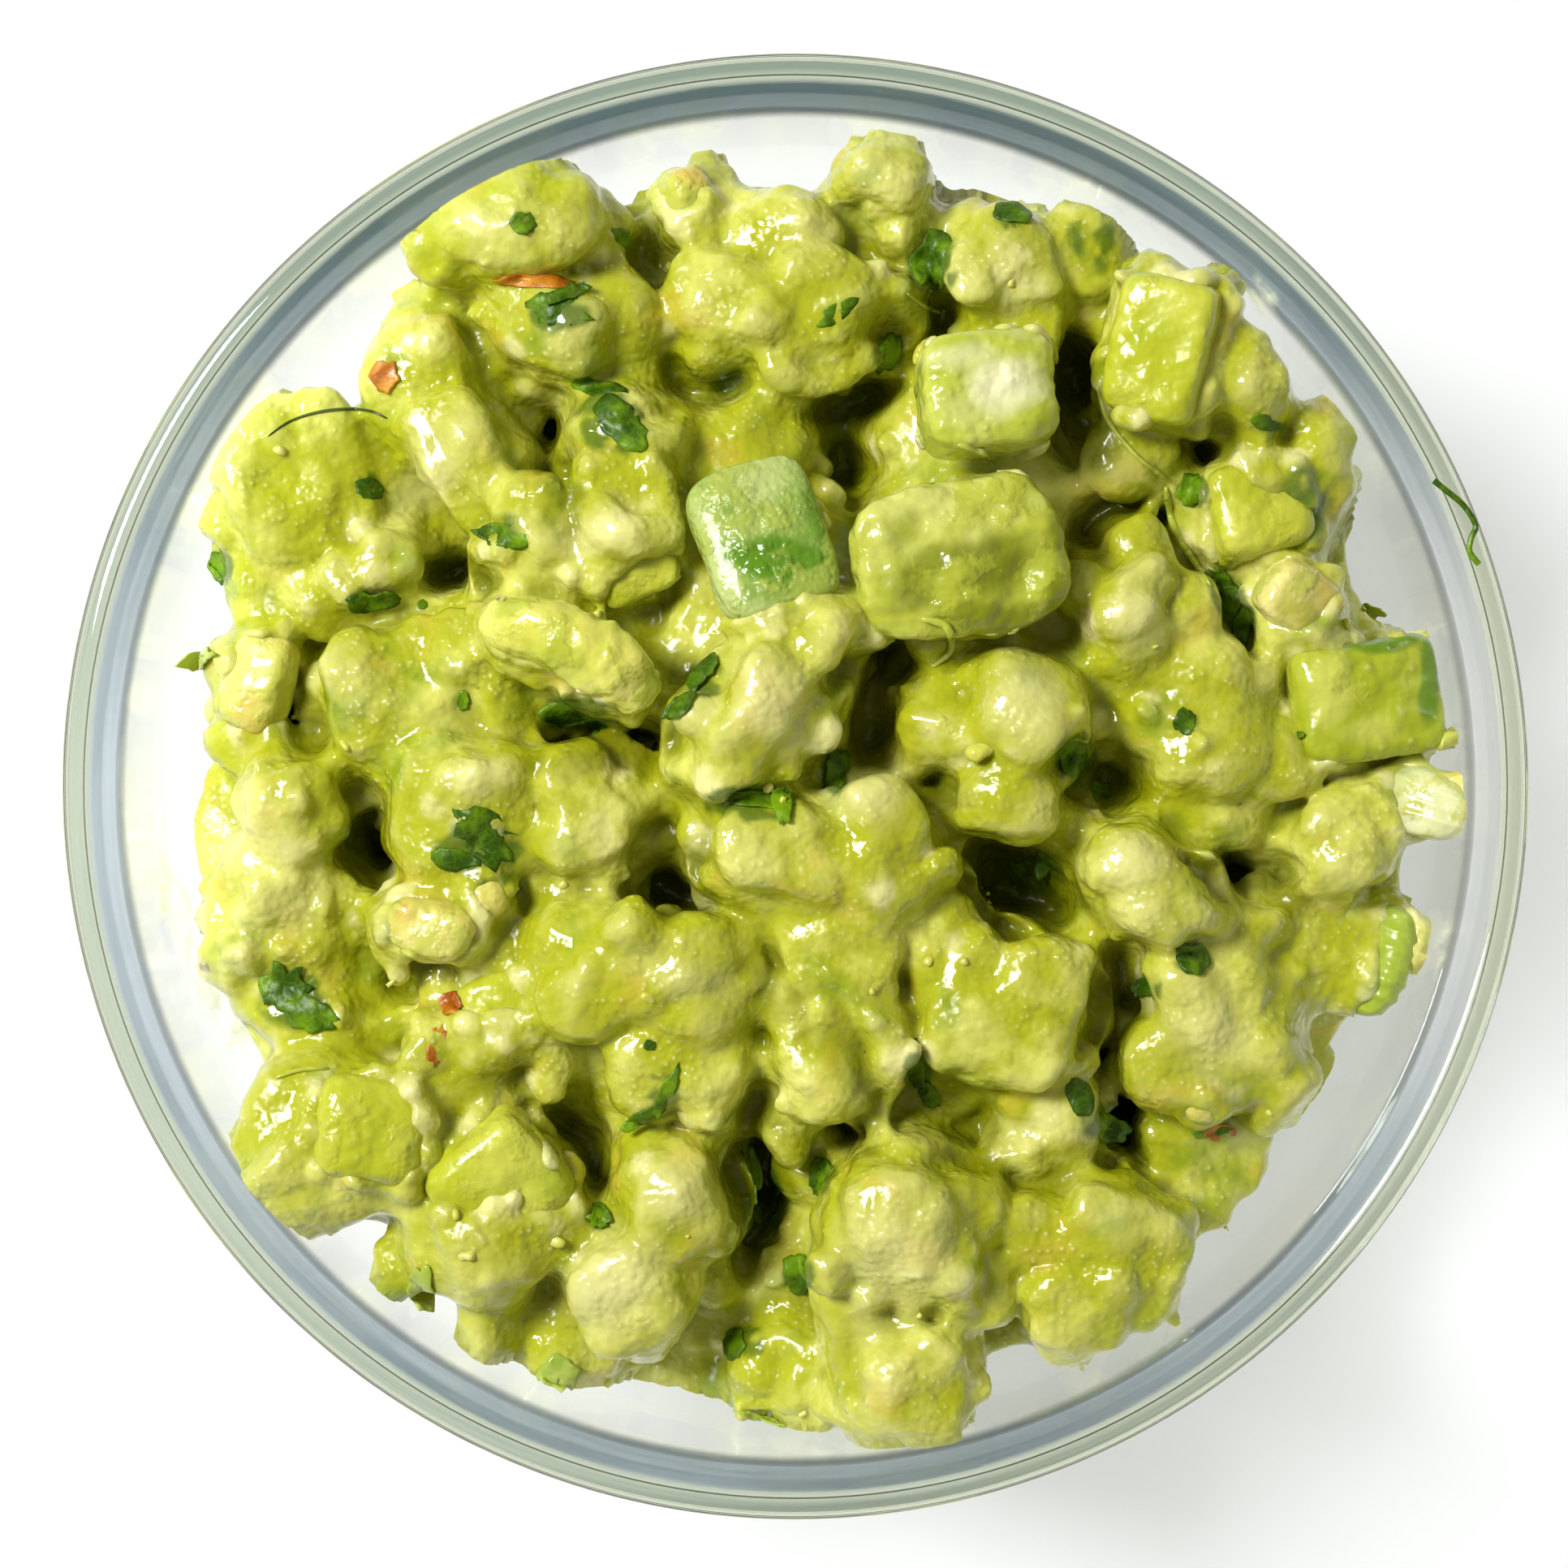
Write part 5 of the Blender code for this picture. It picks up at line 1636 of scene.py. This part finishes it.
def coated_chunks() -> list[SunkBit]:
    """Lists the larger chunks that the mash has coated."""
    return [SunkBit(*row) for row in (
        (640, 270, (14, 9, 8), (0, 6, 12), 1.6, 2.8), (690, 400, (10, 8, 7), (0, 0, -20), 1.2, 2.6),
        (555, 300, (8, 7, 6), (0, 0, 30), 0.8, 2.6), (520, 470, (10, 10.5, 8), (8, -6, 20), 1.2, 3.4),
        (575, 570, (7.6, 14.5, 7), (6, 4, 36), 1.4, 3.4), (690, 640, (12.5, 6.5, 6.5), (0, 0, -20), 1.2, 3),
        (760, 600, (7, 8, 6), (0, 10, 10), 1, 3.4), (365, 590, (12.5, 13.5, 6), (4, 10, 16), 1.4, 4.2),
        (330, 740, (7, 9, 6), (0, 10, 10), 0.8, 3), (500, 850, (15, 12, 7), (0, 6, 10), 1, 2.8),
        (590, 980, (9.5, 8.5, 7), (8, 8, -6), 1.4, 3.6), (355, 1000, (8, 8.5, 7), (8, 12, 24), 1.3, 3.6),
        (340, 1110, (9.5, 12, 7), (6, 12, 4), 1, 3.4), (715, 1020, (8.5, 6.5, 6), (0, 6, 40), 1.4, 2.7),
        (690, 1090, (7.5, 7, 6), (4, 0, 10), 1, 2.6), (930, 880, (6.6, 11.5, 8), (8, 10, -30), 1.8, 3.2),
        (900, 930, (6.8, 6, 5), (0, 0, 10), 1, 2.6), (970, 1050, (12, 8, 6.5), (-8, 6, -8), 1.2, 3.2),
        (1090, 1010, (6.6, 8, 6), (0, 14, 16), 1.2, 3.2), (1010, 800, (5, 4.4, 5), (0, 0, 0), 1.2, 2.6),
        (800, 1200, (15, 7, 6), (0, 0, 22), 1.2, 2.8), (890, 1190, (7, 7.5, 6), (0, 8, 20), 1, 2.8),
        (720, 1230, (9, 7, 6), (0, 0, 0), 1, 2.6), (830, 1300, (13, 9, 6), (0, 0, 12), 1, 2.8),
        (1010, 1290, (8, 14, 6), (0, 8, 12), 0.8, 3), (1040, 1170, (10, 8, 6), (0, 0, 0), 1, 3.4),
        (1160, 1180, (8, 11, 6), (0, 12, 14), 1, 3.2), (1230, 1270, (13, 9, 7), (0, 0, -8), 1.5, 2.8),
        (1280, 1200, (8, 6, 5), (0, 0, 10), 1, 2.8), (830, 1480, (9, 11, 8), (6, 0, 24), 1.5, 2.7),
        (770, 1600, (9, 10, 7), (12, -6, 26), 1, 3.4), (600, 1540, (9, 7, 6), (14, 0, 20), 0.9, 3),
        (380, 1440, (10, 8, 7), (10, 8, 30), 0.9, 3), (1110, 1500, (10.5, 9, 9), (8, 0, -24), 1.8, 2.9),
        (1060, 1600, (8, 13, 8), (10, 0, 6), 1.4, 2.9), (1190, 1590, (8, 8, 7), (10, 6, 20), 1.2, 2.7),
        (1130, 1700, (9, 9, 7), (16, 0, 0), 1, 2.8), (950, 1680, (8, 8, 6), (14, 0, 10), 1, 2.9),
        (1380, 1540, (12, 11, 8), (14, 10, -24), 1.4, 4.2),
        (1290, 1530, (8.5, 8, 6), (8, 0, -10), 1.1, 2.8), (1330, 1610, (9, 8, 6), (14, 0, 0), 1, 3.4),
        (1490, 1220, (11, 11, 8), (6, 12, 20), 1.8, 2.7), (1540, 1300, (9, 9, 7), (10, 14, 10), 1.3, 2.7),
        (1440, 1310, (7, 8, 6), (6, 0, 10), 1.3, 2.8), (1395, 1060, (7, 6.4, 5.5), (-8, 4, -24), 1.5, 2.8),
        (1480, 1420, (10, 10.5, 6), (12, 14, 30), 0.8, 4),
        (1430, 1110, (8, 6.6, 5.5), (0, 8, -20), 1.2, 2.8), (1660, 1040, (8, 9, 6), (0, 14, 34), 1.2, 2.9),
        (1612, 1130, (6.5, 7, 5.5), (8, 14, 20), 0.9, 2.9), (1500, 1000, (10, 7, 6), (0, 4, -10), 1.1, 2.7),
        (1570, 940, (8, 7, 6), (0, 8, 10), 1.1, 2.7), (1480, 830, (9, 8, 6), (0, 4, 60), 1.2, 2.7),
        (1390, 760, (6.4, 8, 6), (0, 6, 10), 1.5, 2.5), (1465, 745, (5, 6.4, 5), (0, 6, 0), 1.4, 2.4),
        (1410, 690, (6, 8, 5), (0, 8, 30), 1, 2.6), (1590, 790, (7, 6, 5), (0, 10, 0), 0.9, 2.8),
        (1620, 560, (6, 9, 6), (0, 14, 10), 1, 3), (1540, 460, (6.6, 7, 6), (0, 14, 30), 1.1, 2.8),
        (1330, 310, (9, 8, 6), (-8, 6, -20), 1.2, 2.8), (1230, 320, (9.5, 9, 7), (-4, 4, -30), 1.5, 2.8),
        (1090, 215, (7, 6, 6), (-10, 0, -20), 1.4, 2.8), (1110, 275, (9, 6.5, 6), (-6, 0, -20), 1.2, 2.6),
        (960, 290, (10.5, 8, 7), (-8, 0, 14), 1.4, 2.8), (900, 370, (12, 9, 6), (-4, 0, -10), 1, 2.7),
        (1010, 350, (9, 7, 5), (0, 0, -20), 1, 2.6), (1210, 620, (5, 5, 4), (0, 0, 0), 1, 2.6),
        (1390, 560, (8, 7, 5), (0, 0, 40), 0.8, 2.6), (1240, 980, (9, 7.5, 6), (0, 0, 16), 1.4, 2.7),
        (1160, 900, (8, 6, 5), (0, 0, -10), 0.9, 2.7), (1160, 780, (7, 5, 4), (0, 0, 20), 1.1, 2.6),
        (620, 1170, (6, 5, 4), (0, 0, 20), 0.9, 2.6), (560, 1330, (9, 6, 5), (0, 0, 10), 0.7, 2.7),
        (1180, 1390, (6.5, 7, 5), (0, 0, 10), 0.9, 2.8), (1290, 1360, (8, 6.5, 5), (0, 0, -20), 1, 2.7),
        (1000, 1430, (7, 9, 5), (0, 0, 6), 0.9, 2.6),
    )]


def tan_bits() -> SunkBits:
    """Lists the yellow and tan bits of ripe avocado and toasted kernel."""
    return SunkBits("ripe_yellow_bits", TAN, "avocado", [SunkBit(*row) for row in (
        (850, 250, (4, 6, 4), (10, 20, 20), 1.4, 3.2), (320, 840, (5.5, 8.5, 4.5), (0, -20, -18), 1.4, 3.6),
        (290, 915, (4, 3.4, 3.4), (0, -10, 30), 0.9, 3.4),
        (530, 1145, (7.6, 5, 4.6), (6, -10, -14), 2.5, 3), (600, 1108, (3, 3.4, 3), (0, 10, 20), 1.8, 2.6),
        (1600, 735, (6.6, 5.6, 5), (0, 18, -30), 2.3, 3), (478, 690, (3.6, 2.4, 2.4), (0, 0, -8), 1, 3),
        (636, 500, (1.9, 3.8, 1.6), (0, 0, 16), 0.9, 2.4),
        (1323, 1188, (2.4, 1.8, 1.8), (0, 0, 12), 1.7, 2.6),
        (1478, 1362, (2.9, 2.9, 3), (0, 0, 0), 2.2, 2.4), (712, 905, (4.2, 3, 2.2), (0, 0, -30), 1.2, 4),
        (1250, 345, (4, 3, 3), (0, 0, 30), 1, 3), (1200, 1170, (3, 2.4, 2), (0, 0, 10), 0.5, 3),
        (525, 1285, (2.2, 4, 2), (0, 0, 8), 0.5, 3),
    )], uneven=0.55 * MM, cuts=14)


@dataclass
class LaidStrip:
    """Strips of one finish that are laid over the mash along lines of the photograph."""

    name: str
    finish: FruitFinish
    slot: str
    paths: tuple
    sides: int = 20
    flatness: float = 0.55
    uneven: float = 0.0

    def build(self, base: Surface) -> bpy.types.Object:
        """Sweeps the strips and dresses them."""
        pile = MeshPile()
        for path in self.paths:
            points, faces = strand_shape(rested_line(list(path), base, 14), self.sides, self.flatness)
            for axis in range(3):
                rough = noise_over(points, 2.6 * MM, 5.0 + 9.0 * axis)
                rough += 0.5 * noise_over(points, 1.1 * MM, 7.0 * axis)
                points[:, axis] += self.uneven * rough
            pile.add(points, faces)
        made = make_object(self.name, pile.mesh(self.name), self.finish.material())
        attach(made, "root")
        return made


def avocado_crescent() -> LaidStrip:
    """Returns the pale strip of ripe avocado that curls over the heap's left half."""
    return LaidStrip("avocado_crescent", YELLOW_FLESH, "avocado", ((
        (596, 775, 0.7, 1.4), (640, 772, 1.5, 2.5), (700, 790, 1.9, 2.9), (755, 820, 1.8, 2.8),
        (800, 862, 0.9, 2.0),
    ),), sides=32, flatness=0.7, uneven=0.5 * MM)


def onion_threads() -> LaidStrip:
    """Returns the thin glossy threads of onion skin on the heap's right half."""
    return LaidStrip("onion_threads", ONION, "onion", (
        ((1352, 478, 0.15, 0.14), (1366, 520, 0.25, 0.2), (1400, 562, 0.3, 0.18), (1436, 590, 0.35, 0.24)),
        ((1436, 600, 0.25, 0.26), (1446, 650, 0.3, 0.34), (1470, 690, 0.3, 0.3), (1492, 722, 0.1, 0.14)),
        ((1135, 762, 0.25, 0.22), (1165, 772, 0.5, 0.36), (1172, 800, 0.4, 0.28), (1150, 822, 0.1, 0.14)),
        ((1180, 548, 0.2, 0.2), (1205, 555, 0.25, 0.28), (1226, 566, 0.1, 0.2)),
        ((1118, 362, 0.2, 0.14), (1140, 378, 0.25, 0.2), (1160, 386, 0.1, 0.14)),
        ((340, 1328, 0.15, 0.14), (370, 1318, 0.25, 0.18), (405, 1316, 0.1, 0.14)),
    ), sides=10, flatness=0.8)


def slice_skin() -> LaidStrip:
    """Returns the dark skin along the edge of the round slice."""
    return LaidStrip("slice_skin", SKIN, "avocado", ((
        (330, 538, 0.0, 0.08), (356, 520, 0.05, 0.12), (392, 508, 0.05, 0.14), (430, 504, 0.05, 0.15),
        (458, 507, 0.05, 0.12), (478, 516, 0.0, 0.08),
    ),), sides=10, flatness=0.8)


@dataclass
class PaleCrumbs:
    """Small pale crumbs that sit in clusters on the mash."""

    tries: int = 180
    smallest: float = 0.3 * MM
    largest: float = 0.8 * MM
    seed: int = 19

    def build(self, base: Surface) -> bpy.types.Object:
        """Scatters the crumbs and dresses them as one piece."""
        random_state = np.random.RandomState(self.seed)
        pile = MeshPile()
        ways, faces = BallPattern.round_ball(2)
        places = random_state.uniform(-54 * MM, 54 * MM, (self.tries, 2))
        for x, y in places:
            found = base.drop(x, y)
            if found is None or found[1].z < 0.35:
                continue
            spot = np.array([found[0]])
            cluster = noise.noise(found[0] / (6.0 * MM)) * 1.5 + 0.9 * marked(NUBBLY, spot)[0]
            cluster -= 0.9 * marked(SMOOTH, spot)[0] + marked(GAPS, spot)[0]
            if random_state.random_sample() > np.clip(cluster, 0.02, 0.9):
                continue
            size = self.smallest + (self.largest - self.smallest) * random_state.random_sample() ** 2.2
            centre = found[0] + found[1] * size * random_state.uniform(-0.4, 0.3)
            stretch = tuple(2 * size * random_state.uniform(0.6, 1.6, 3) / MM)
            turns = tuple(random_state.uniform(-180, 180, 3))
            pile.add(CutShape(centre, stretch, turns, 5.0, 0.9 * size, rib=0.25 * size).points(ways), faces)
        made = make_object("pale_crumbs", pile.mesh("pale crumbs"), CRUMB.material())
        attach(made, "root")
        return made


# Herbs and chilli


@dataclass(frozen=True)
class LeafScrap:
    """One scrap of chopped leaf as the photograph shows it."""

    column: float
    row: float
    width: float
    height: float
    turn: float = 0.0
    lift_mm: float = 0.1
    ragged: float = 0.25


@dataclass
class ChoppedHerb:
    """Scraps of leaf draped over the mash, some of them half under it."""

    name: str
    finish: object
    slot: str
    scraps: list[LeafScrap]
    rings: int = 5
    sectors: int = 22
    thickness: float = 0.14 * MM
    reach: float = 1.3 * MM

    def build(self, base: Surface) -> bpy.types.Object:
        """Drapes every scrap and thickens the whole.

        Args:
            base: The heap's surface.

        Returns:
            The dressed piece.
        """
        pile = MeshPile()
        for index, scrap in enumerate(self.scraps):
            self.drape(scrap, index, base, pile)
        made = make_object(self.name, pile.mesh(self.name), self.finish.material())
        rings = [0.0] + [ring / self.rings for ring in range(1, self.rings + 1) for _ in range(self.sectors)]
        note(made.data, "inward", np.tile(1.0 - np.array(rings), len(made.data.vertices) // len(rings)))
        step = made.modifiers.new("Thickness", "SOLIDIFY")
        step.thickness = self.thickness
        step.offset = 0.0
        apply_modifiers(made)
        made.data.shade_smooth()
        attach(made, "root")
        return made

    def drape(self, scrap: LeafScrap, index: int, base: Surface, pile: MeshPile) -> None:
        """Drapes one scrap on the surface.

        Args:
            scrap: The scrap.
            index: Its number, which sets its ragged edge.
            base: The heap's surface.
            pile: Where its faces go.
        """
        found = base.under_pixel(scrap.column, scrap.row)
        if found is None:
            return
        middle = found[0].z
        angle = math.radians(scrap.turn)
        points = []
        for ring in range(self.rings + 1):
            for sector in range(self.sectors if ring else 1):
                around = 2 * math.pi * sector / self.sectors
                east, south = math.cos(around), math.sin(around)
                edge = 1.0 + scrap.ragged * noise.noise(Vector((east * 1.7, south * 1.7, index)))
                edge += 0.9 * scrap.ragged * noise.noise(Vector((east * 3.4, south * 3.4, index + 9)))
                far = ring / self.rings
                along = far * edge * east * scrap.width / 2
                aside = far * edge * south * scrap.height / 2
                column = scrap.column + along * math.cos(angle) - aside * math.sin(angle)
                row = scrap.row + along * math.sin(angle) + aside * math.cos(angle)
                curl = 0.28 * MM * noise.noise(Vector((column / 22.0, row / 22.0, index * 3.1)))
                points.append(self.rest(column, row, middle, scrap.lift_mm * MM + curl, base))
        faces = []
        for sector in range(self.sectors):
            after = (sector + 1) % self.sectors
            faces.append([0, 1 + after, 1 + sector])
            for ring in range(1, self.rings):
                low, high = 1 + (ring - 1) * self.sectors, 1 + ring * self.sectors
                faces.append([low + sector, low + after, high + after, high + sector])
        pile.add(np.array(points), faces)

    def rest(self, column: float, row: float, middle: float, lift: float, base: Surface) -> tuple:
        """Rests one point of a scrap on what lies under its pixel.

        Args:
            column: Pixels from the left.
            row: Pixels from the top.
            middle: The height of the scrap's middle.
            lift: How far the point is off the surface.
            base: The surface.

        Returns:
            The point.
        """
        under = base.under_pixel(column, row)
        if under is not None and abs(under[0].z - middle) <= self.reach:
            normal = under[1] if under[1].z > 0 else -under[1]
            return tuple(under[0] + normal * lift)
        level = middle if under is None else min(max(under[0].z, middle - self.reach), middle + self.reach)
        return tuple(PHOTO.place(column, row, level + lift))


def mash_films() -> list[LeafScrap]:
    """Lists the thin films of mash that are left on the glass round the heap."""
    return [LeafScrap(*row) for row in (
        (196, 1075, 56, 150, -6, 0.1, 0.5), (226, 1140, 50, 110, -10, 0.1, 0.5),
        (258, 1225, 46, 80, -20, 0.1, 0.5), (290, 1275, 40, 50, -10, 0.1, 0.5),
        (1556, 366, 40, 90, -32, 0.1, 0.4),
    )]


def leaf_shards() -> list[LeafScrap]:
    """Lists the bright green shards that stick out at the heap's edge."""
    return [LeafScrap(*row) for row in (
        (243, 812, 60, 22, -14, 0.4, 0.4), (520, 1588, 34, 60, 6, 0.3, 0.4),
        (688, 1692, 52, 44, -30, 0.4, 0.4), (940, 1748, 60, 10, 20, 0.3, 0.3),
        (1692, 752, 34, 16, 14, 0.3, 0.4),
    )]


def herb_scraps() -> list[LeafScrap]:
    """Lists the scraps of chopped herb."""
    return [LeafScrap(*row) for row in (
        (645, 275, 34, 26), (766, 292, 30, 16, 40), (690, 380, 80, 40, 10, 0, 0.5),
        (700, 362, 60, 16, -20, 0.2), (735, 478, 70, 22, 10, 0.1), (765, 520, 90, 44, 48, 0),
        (1150, 322, 62, 74, 10, 0.25), (1247, 264, 46, 26, 10, 0.2), (1095, 435, 28, 50, 20, 0),
        (1030, 385, 60, 24, -30, -0.05), (1468, 604, 38, 38, 0, 0.2), (1512, 728, 26, 66, -24, 0.25),
        (1530, 775, 24, 50, 10, 0.2), (460, 738, 66, 24, -8, 0.5), (269, 700, 24, 40, -16, 0.2),
        (455, 602, 36, 24, 20, 0.1), (710, 878, 90, 34, -4, 0.15), (745, 895, 36, 50, 0, 0),
        (868, 828, 58, 24, -50, 0.4), (835, 872, 50, 20, -30, 0.3), (1030, 950, 30, 58, 6, 0.35),
        (930, 985, 100, 22, 6, 0.1), (962, 990, 26, 48, -12, 0.4), (596, 1030, 90, 54, 20, 0, 0.5),
        (560, 1058, 60, 26, 8, 0.1), (350, 1215, 56, 60, 20, 0.3, 0.45), (385, 1250, 70, 40, 20, 0.2, 0.4),
        (1460, 890, 28, 30, 0, 0.1), (1013, 1448, 32, 44, 10, 0.35), (1128, 1318, 20, 56, -14, 0.1),
        (1145, 1350, 22, 36, -30, 0.15), (822, 1345, 18, 70, 24, 0.1), (790, 1378, 60, 18, -30, 0.1),
        (738, 1500, 34, 30, 20, 0.35), (985, 1570, 36, 50, -20, 0.3), (1322, 930, 34, 50, 0, 0.1),
        (1350, 975, 44, 26, 10, -0.05), (1468, 1180, 40, 46, -34, 0.35), (1412, 1215, 40, 24, -20, 0.2),
        (1330, 1350, 30, 50, -20, 0.1), (1365, 1390, 60, 34, 12, 0), (905, 1655, 26, 40, 10, 0.1),
        (940, 1480, 36, 80, 12, -0.1, 0.5), (925, 1440, 26, 60, -10, -0.1),
        (1250, 1080, 60, 40, 20, -0.1, 0.5), (1290, 1060, 26, 44, 30, 0), (620, 660, 70, 30, 10, 0, 0.4),
        (520, 745, 14, 14, 0, 0.1), (570, 862, 18, 26, 10, 0.2), (1560, 520, 40, 20, 20, 0.05),
        (1490, 1395, 60, 12, -10, 0), (800, 1288, 16, 14, 0, 0.1), (1690, 750, 30, 16, 10, 0.1),
        (1605, 905, 10, 8, 0, 0.2),
    )]


def chilli_scraps() -> list[LeafScrap]:
    """Lists the flakes of toasted chilli."""
    return [LeafScrap(*row) for row in (
        (476, 464, 38, 36, 0, 0.25, 0.3), (660, 346, 96, 18, 2, 0.1, 0.3), (556, 1236, 30, 28, 0, 0.2, 0.3),
        (538, 1290, 22, 46, 10, -0.05, 0.3), (1500, 1395, 40, 24, 0, -0.05, 0.3),
    )]


# Studio


@dataclass
class Studio:
    """The plain floor, the soft lights and the camera over the bowl."""

    floor_side: float = 1.6
    key_place: tuple[float, float, float] = (-0.42, 0.22, 0.62)
    key_side: float = 0.22
    key_power: float = 6.9
    floor_glow: float = 0.5
    sky_strength: float = 0.6

    def build(self) -> None:
        """Sets up the whole studio."""
        self.floor()
        self.sky()
        self.key()
        self.camera()
        bpy.context.scene.view_settings.view_transform = "Standard"

    def floor(self) -> None:
        """Lays a pale matt floor."""
        shape = bmesh.new()
        bmesh.ops.create_grid(shape, x_segments=8, y_segments=8, size=self.floor_side / 2)
        made, _, shader = new_material("pale floor")
        shader.inputs["Base Color"].default_value = (0.46, 0.47, 0.48, 1.0)
        shader.inputs["Roughness"].default_value = 0.7
        shader.inputs["Emission Color"].default_value = (0.97, 0.985, 1.0, 1.0)
        shader.inputs["Emission Strength"].default_value = self.floor_glow
        plane = make_object("studio_floor", mesh_from(shape, "studio floor"), made)

    def sky(self) -> None:
        """Lights the scene from a sky that is dim overhead and bright towards the horizon, with a slate card
        low on one side.
        """
        world = bpy.data.worlds.new("studio sky")
        bpy.context.scene.world = world
        world.use_nodes = True
        sheet = NodeSheet(world.node_tree)
        ground = world.node_tree.nodes["Background"]
        where = sheet.add("TexCoord").outputs["Generated"]
        parts = sheet.add("SeparateXYZ", Vector=where)
        low = sheet.math("SUBTRACT", 1.0, sheet.step(parts.outputs["Z"], 0.1, 0.55))
        card = sheet.math("MULTIPLY", low, sheet.step(parts.outputs["Y"], 0.1, 0.7))
        pale = sheet.mix(low, (0.46, 0.45, 0.3, 1.0), (1.32, 1.33, 1.12, 1.0))
        colour = sheet.mix(card, pale, (0.12, 0.17, 0.23, 1.0))
        sheet.fill(ground.inputs["Color"], colour)
        ground.inputs["Strength"].default_value = self.sky_strength

    def key(self) -> None:
        """Hangs the main lamp to the upper left."""
        lamp = bpy.data.lights.new("key lamp", "AREA")
        lamp.shape = "SQUARE"
        lamp.size = self.key_side
        lamp.energy = self.key_power
        holder = bpy.data.objects.new("key lamp", lamp)
        bpy.context.scene.collection.objects.link(holder)
        holder.location = self.key_place
        aim = Vector((0.0, 0.0, 0.04)) - Vector(self.key_place)
        holder.rotation_euler = aim.to_track_quat("-Z", "Y").to_euler()

    def camera(self) -> None:
        """Sets the camera straight over the bowl, as in the photograph."""
        lens = bpy.data.cameras.new("view from above")
        lens.lens = PHOTO.lens_mm
        lens.sensor_width = PHOTO.sensor_mm
        lens.clip_start = 0.01
        lens.clip_end = 10.0
        holder = bpy.data.objects.new("view from above", lens)
        bpy.context.scene.collection.objects.link(holder)
        holder.location = PHOTO.camera_place()
        bpy.context.scene.camera = holder


def main() -> None:
    """Builds the bowl, the mash, its pieces and the studio, and reports each piece."""
    logging.basicConfig(level=logging.INFO, format="%(message)s")
    bowl = GlassBowl()
    built = [bowl.build()]
    heap = MashHeap(bowl)
    base = heap.build_base()
    soft = Surface([base])
    built += [piece.build(bowl) for piece in diced_pieces()]
    built += [bits.build(soft, bowl) for bits in (avocado_chunks(), tan_bits())]
    built.append(avocado_crescent().build(soft))
    built.append(heap.build(base, melted_strands(soft), built[1:]))
    whole = Surface(built[1:])
    built.append(PaleCrumbs().build(whole))
    built += [onion_threads().build(whole), slice_skin().build(whole)]
    built.append(ChoppedHerb("chopped_herb", HerbFinish(), "herb", herb_scraps()).build(whole))
    built.append(ChoppedHerb("chilli_flakes", ChiliFinish(), "green_pepper", chilli_scraps()).build(whole))
    everything = Surface(built)
    films = ChoppedHerb("mash_films", FilmFinish(), "guacamole", mash_films(), reach=30.0 * MM)
    shards = ChoppedHerb("leaf_shards", LEAF_RIB, "leaf", leaf_shards(), reach=30.0 * MM)
    built += [films.build(everything), shards.build(everything)]
    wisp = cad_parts["herb_wisp"]
    wisp.data.materials.clear()
    wisp.data.materials.append(HerbFinish().material())
    Studio().build()
    for piece in built:
        LOG.info("built %s with %d faces", piece.name, len(piece.data.polygons))


if __name__ == "__main__":
    main()
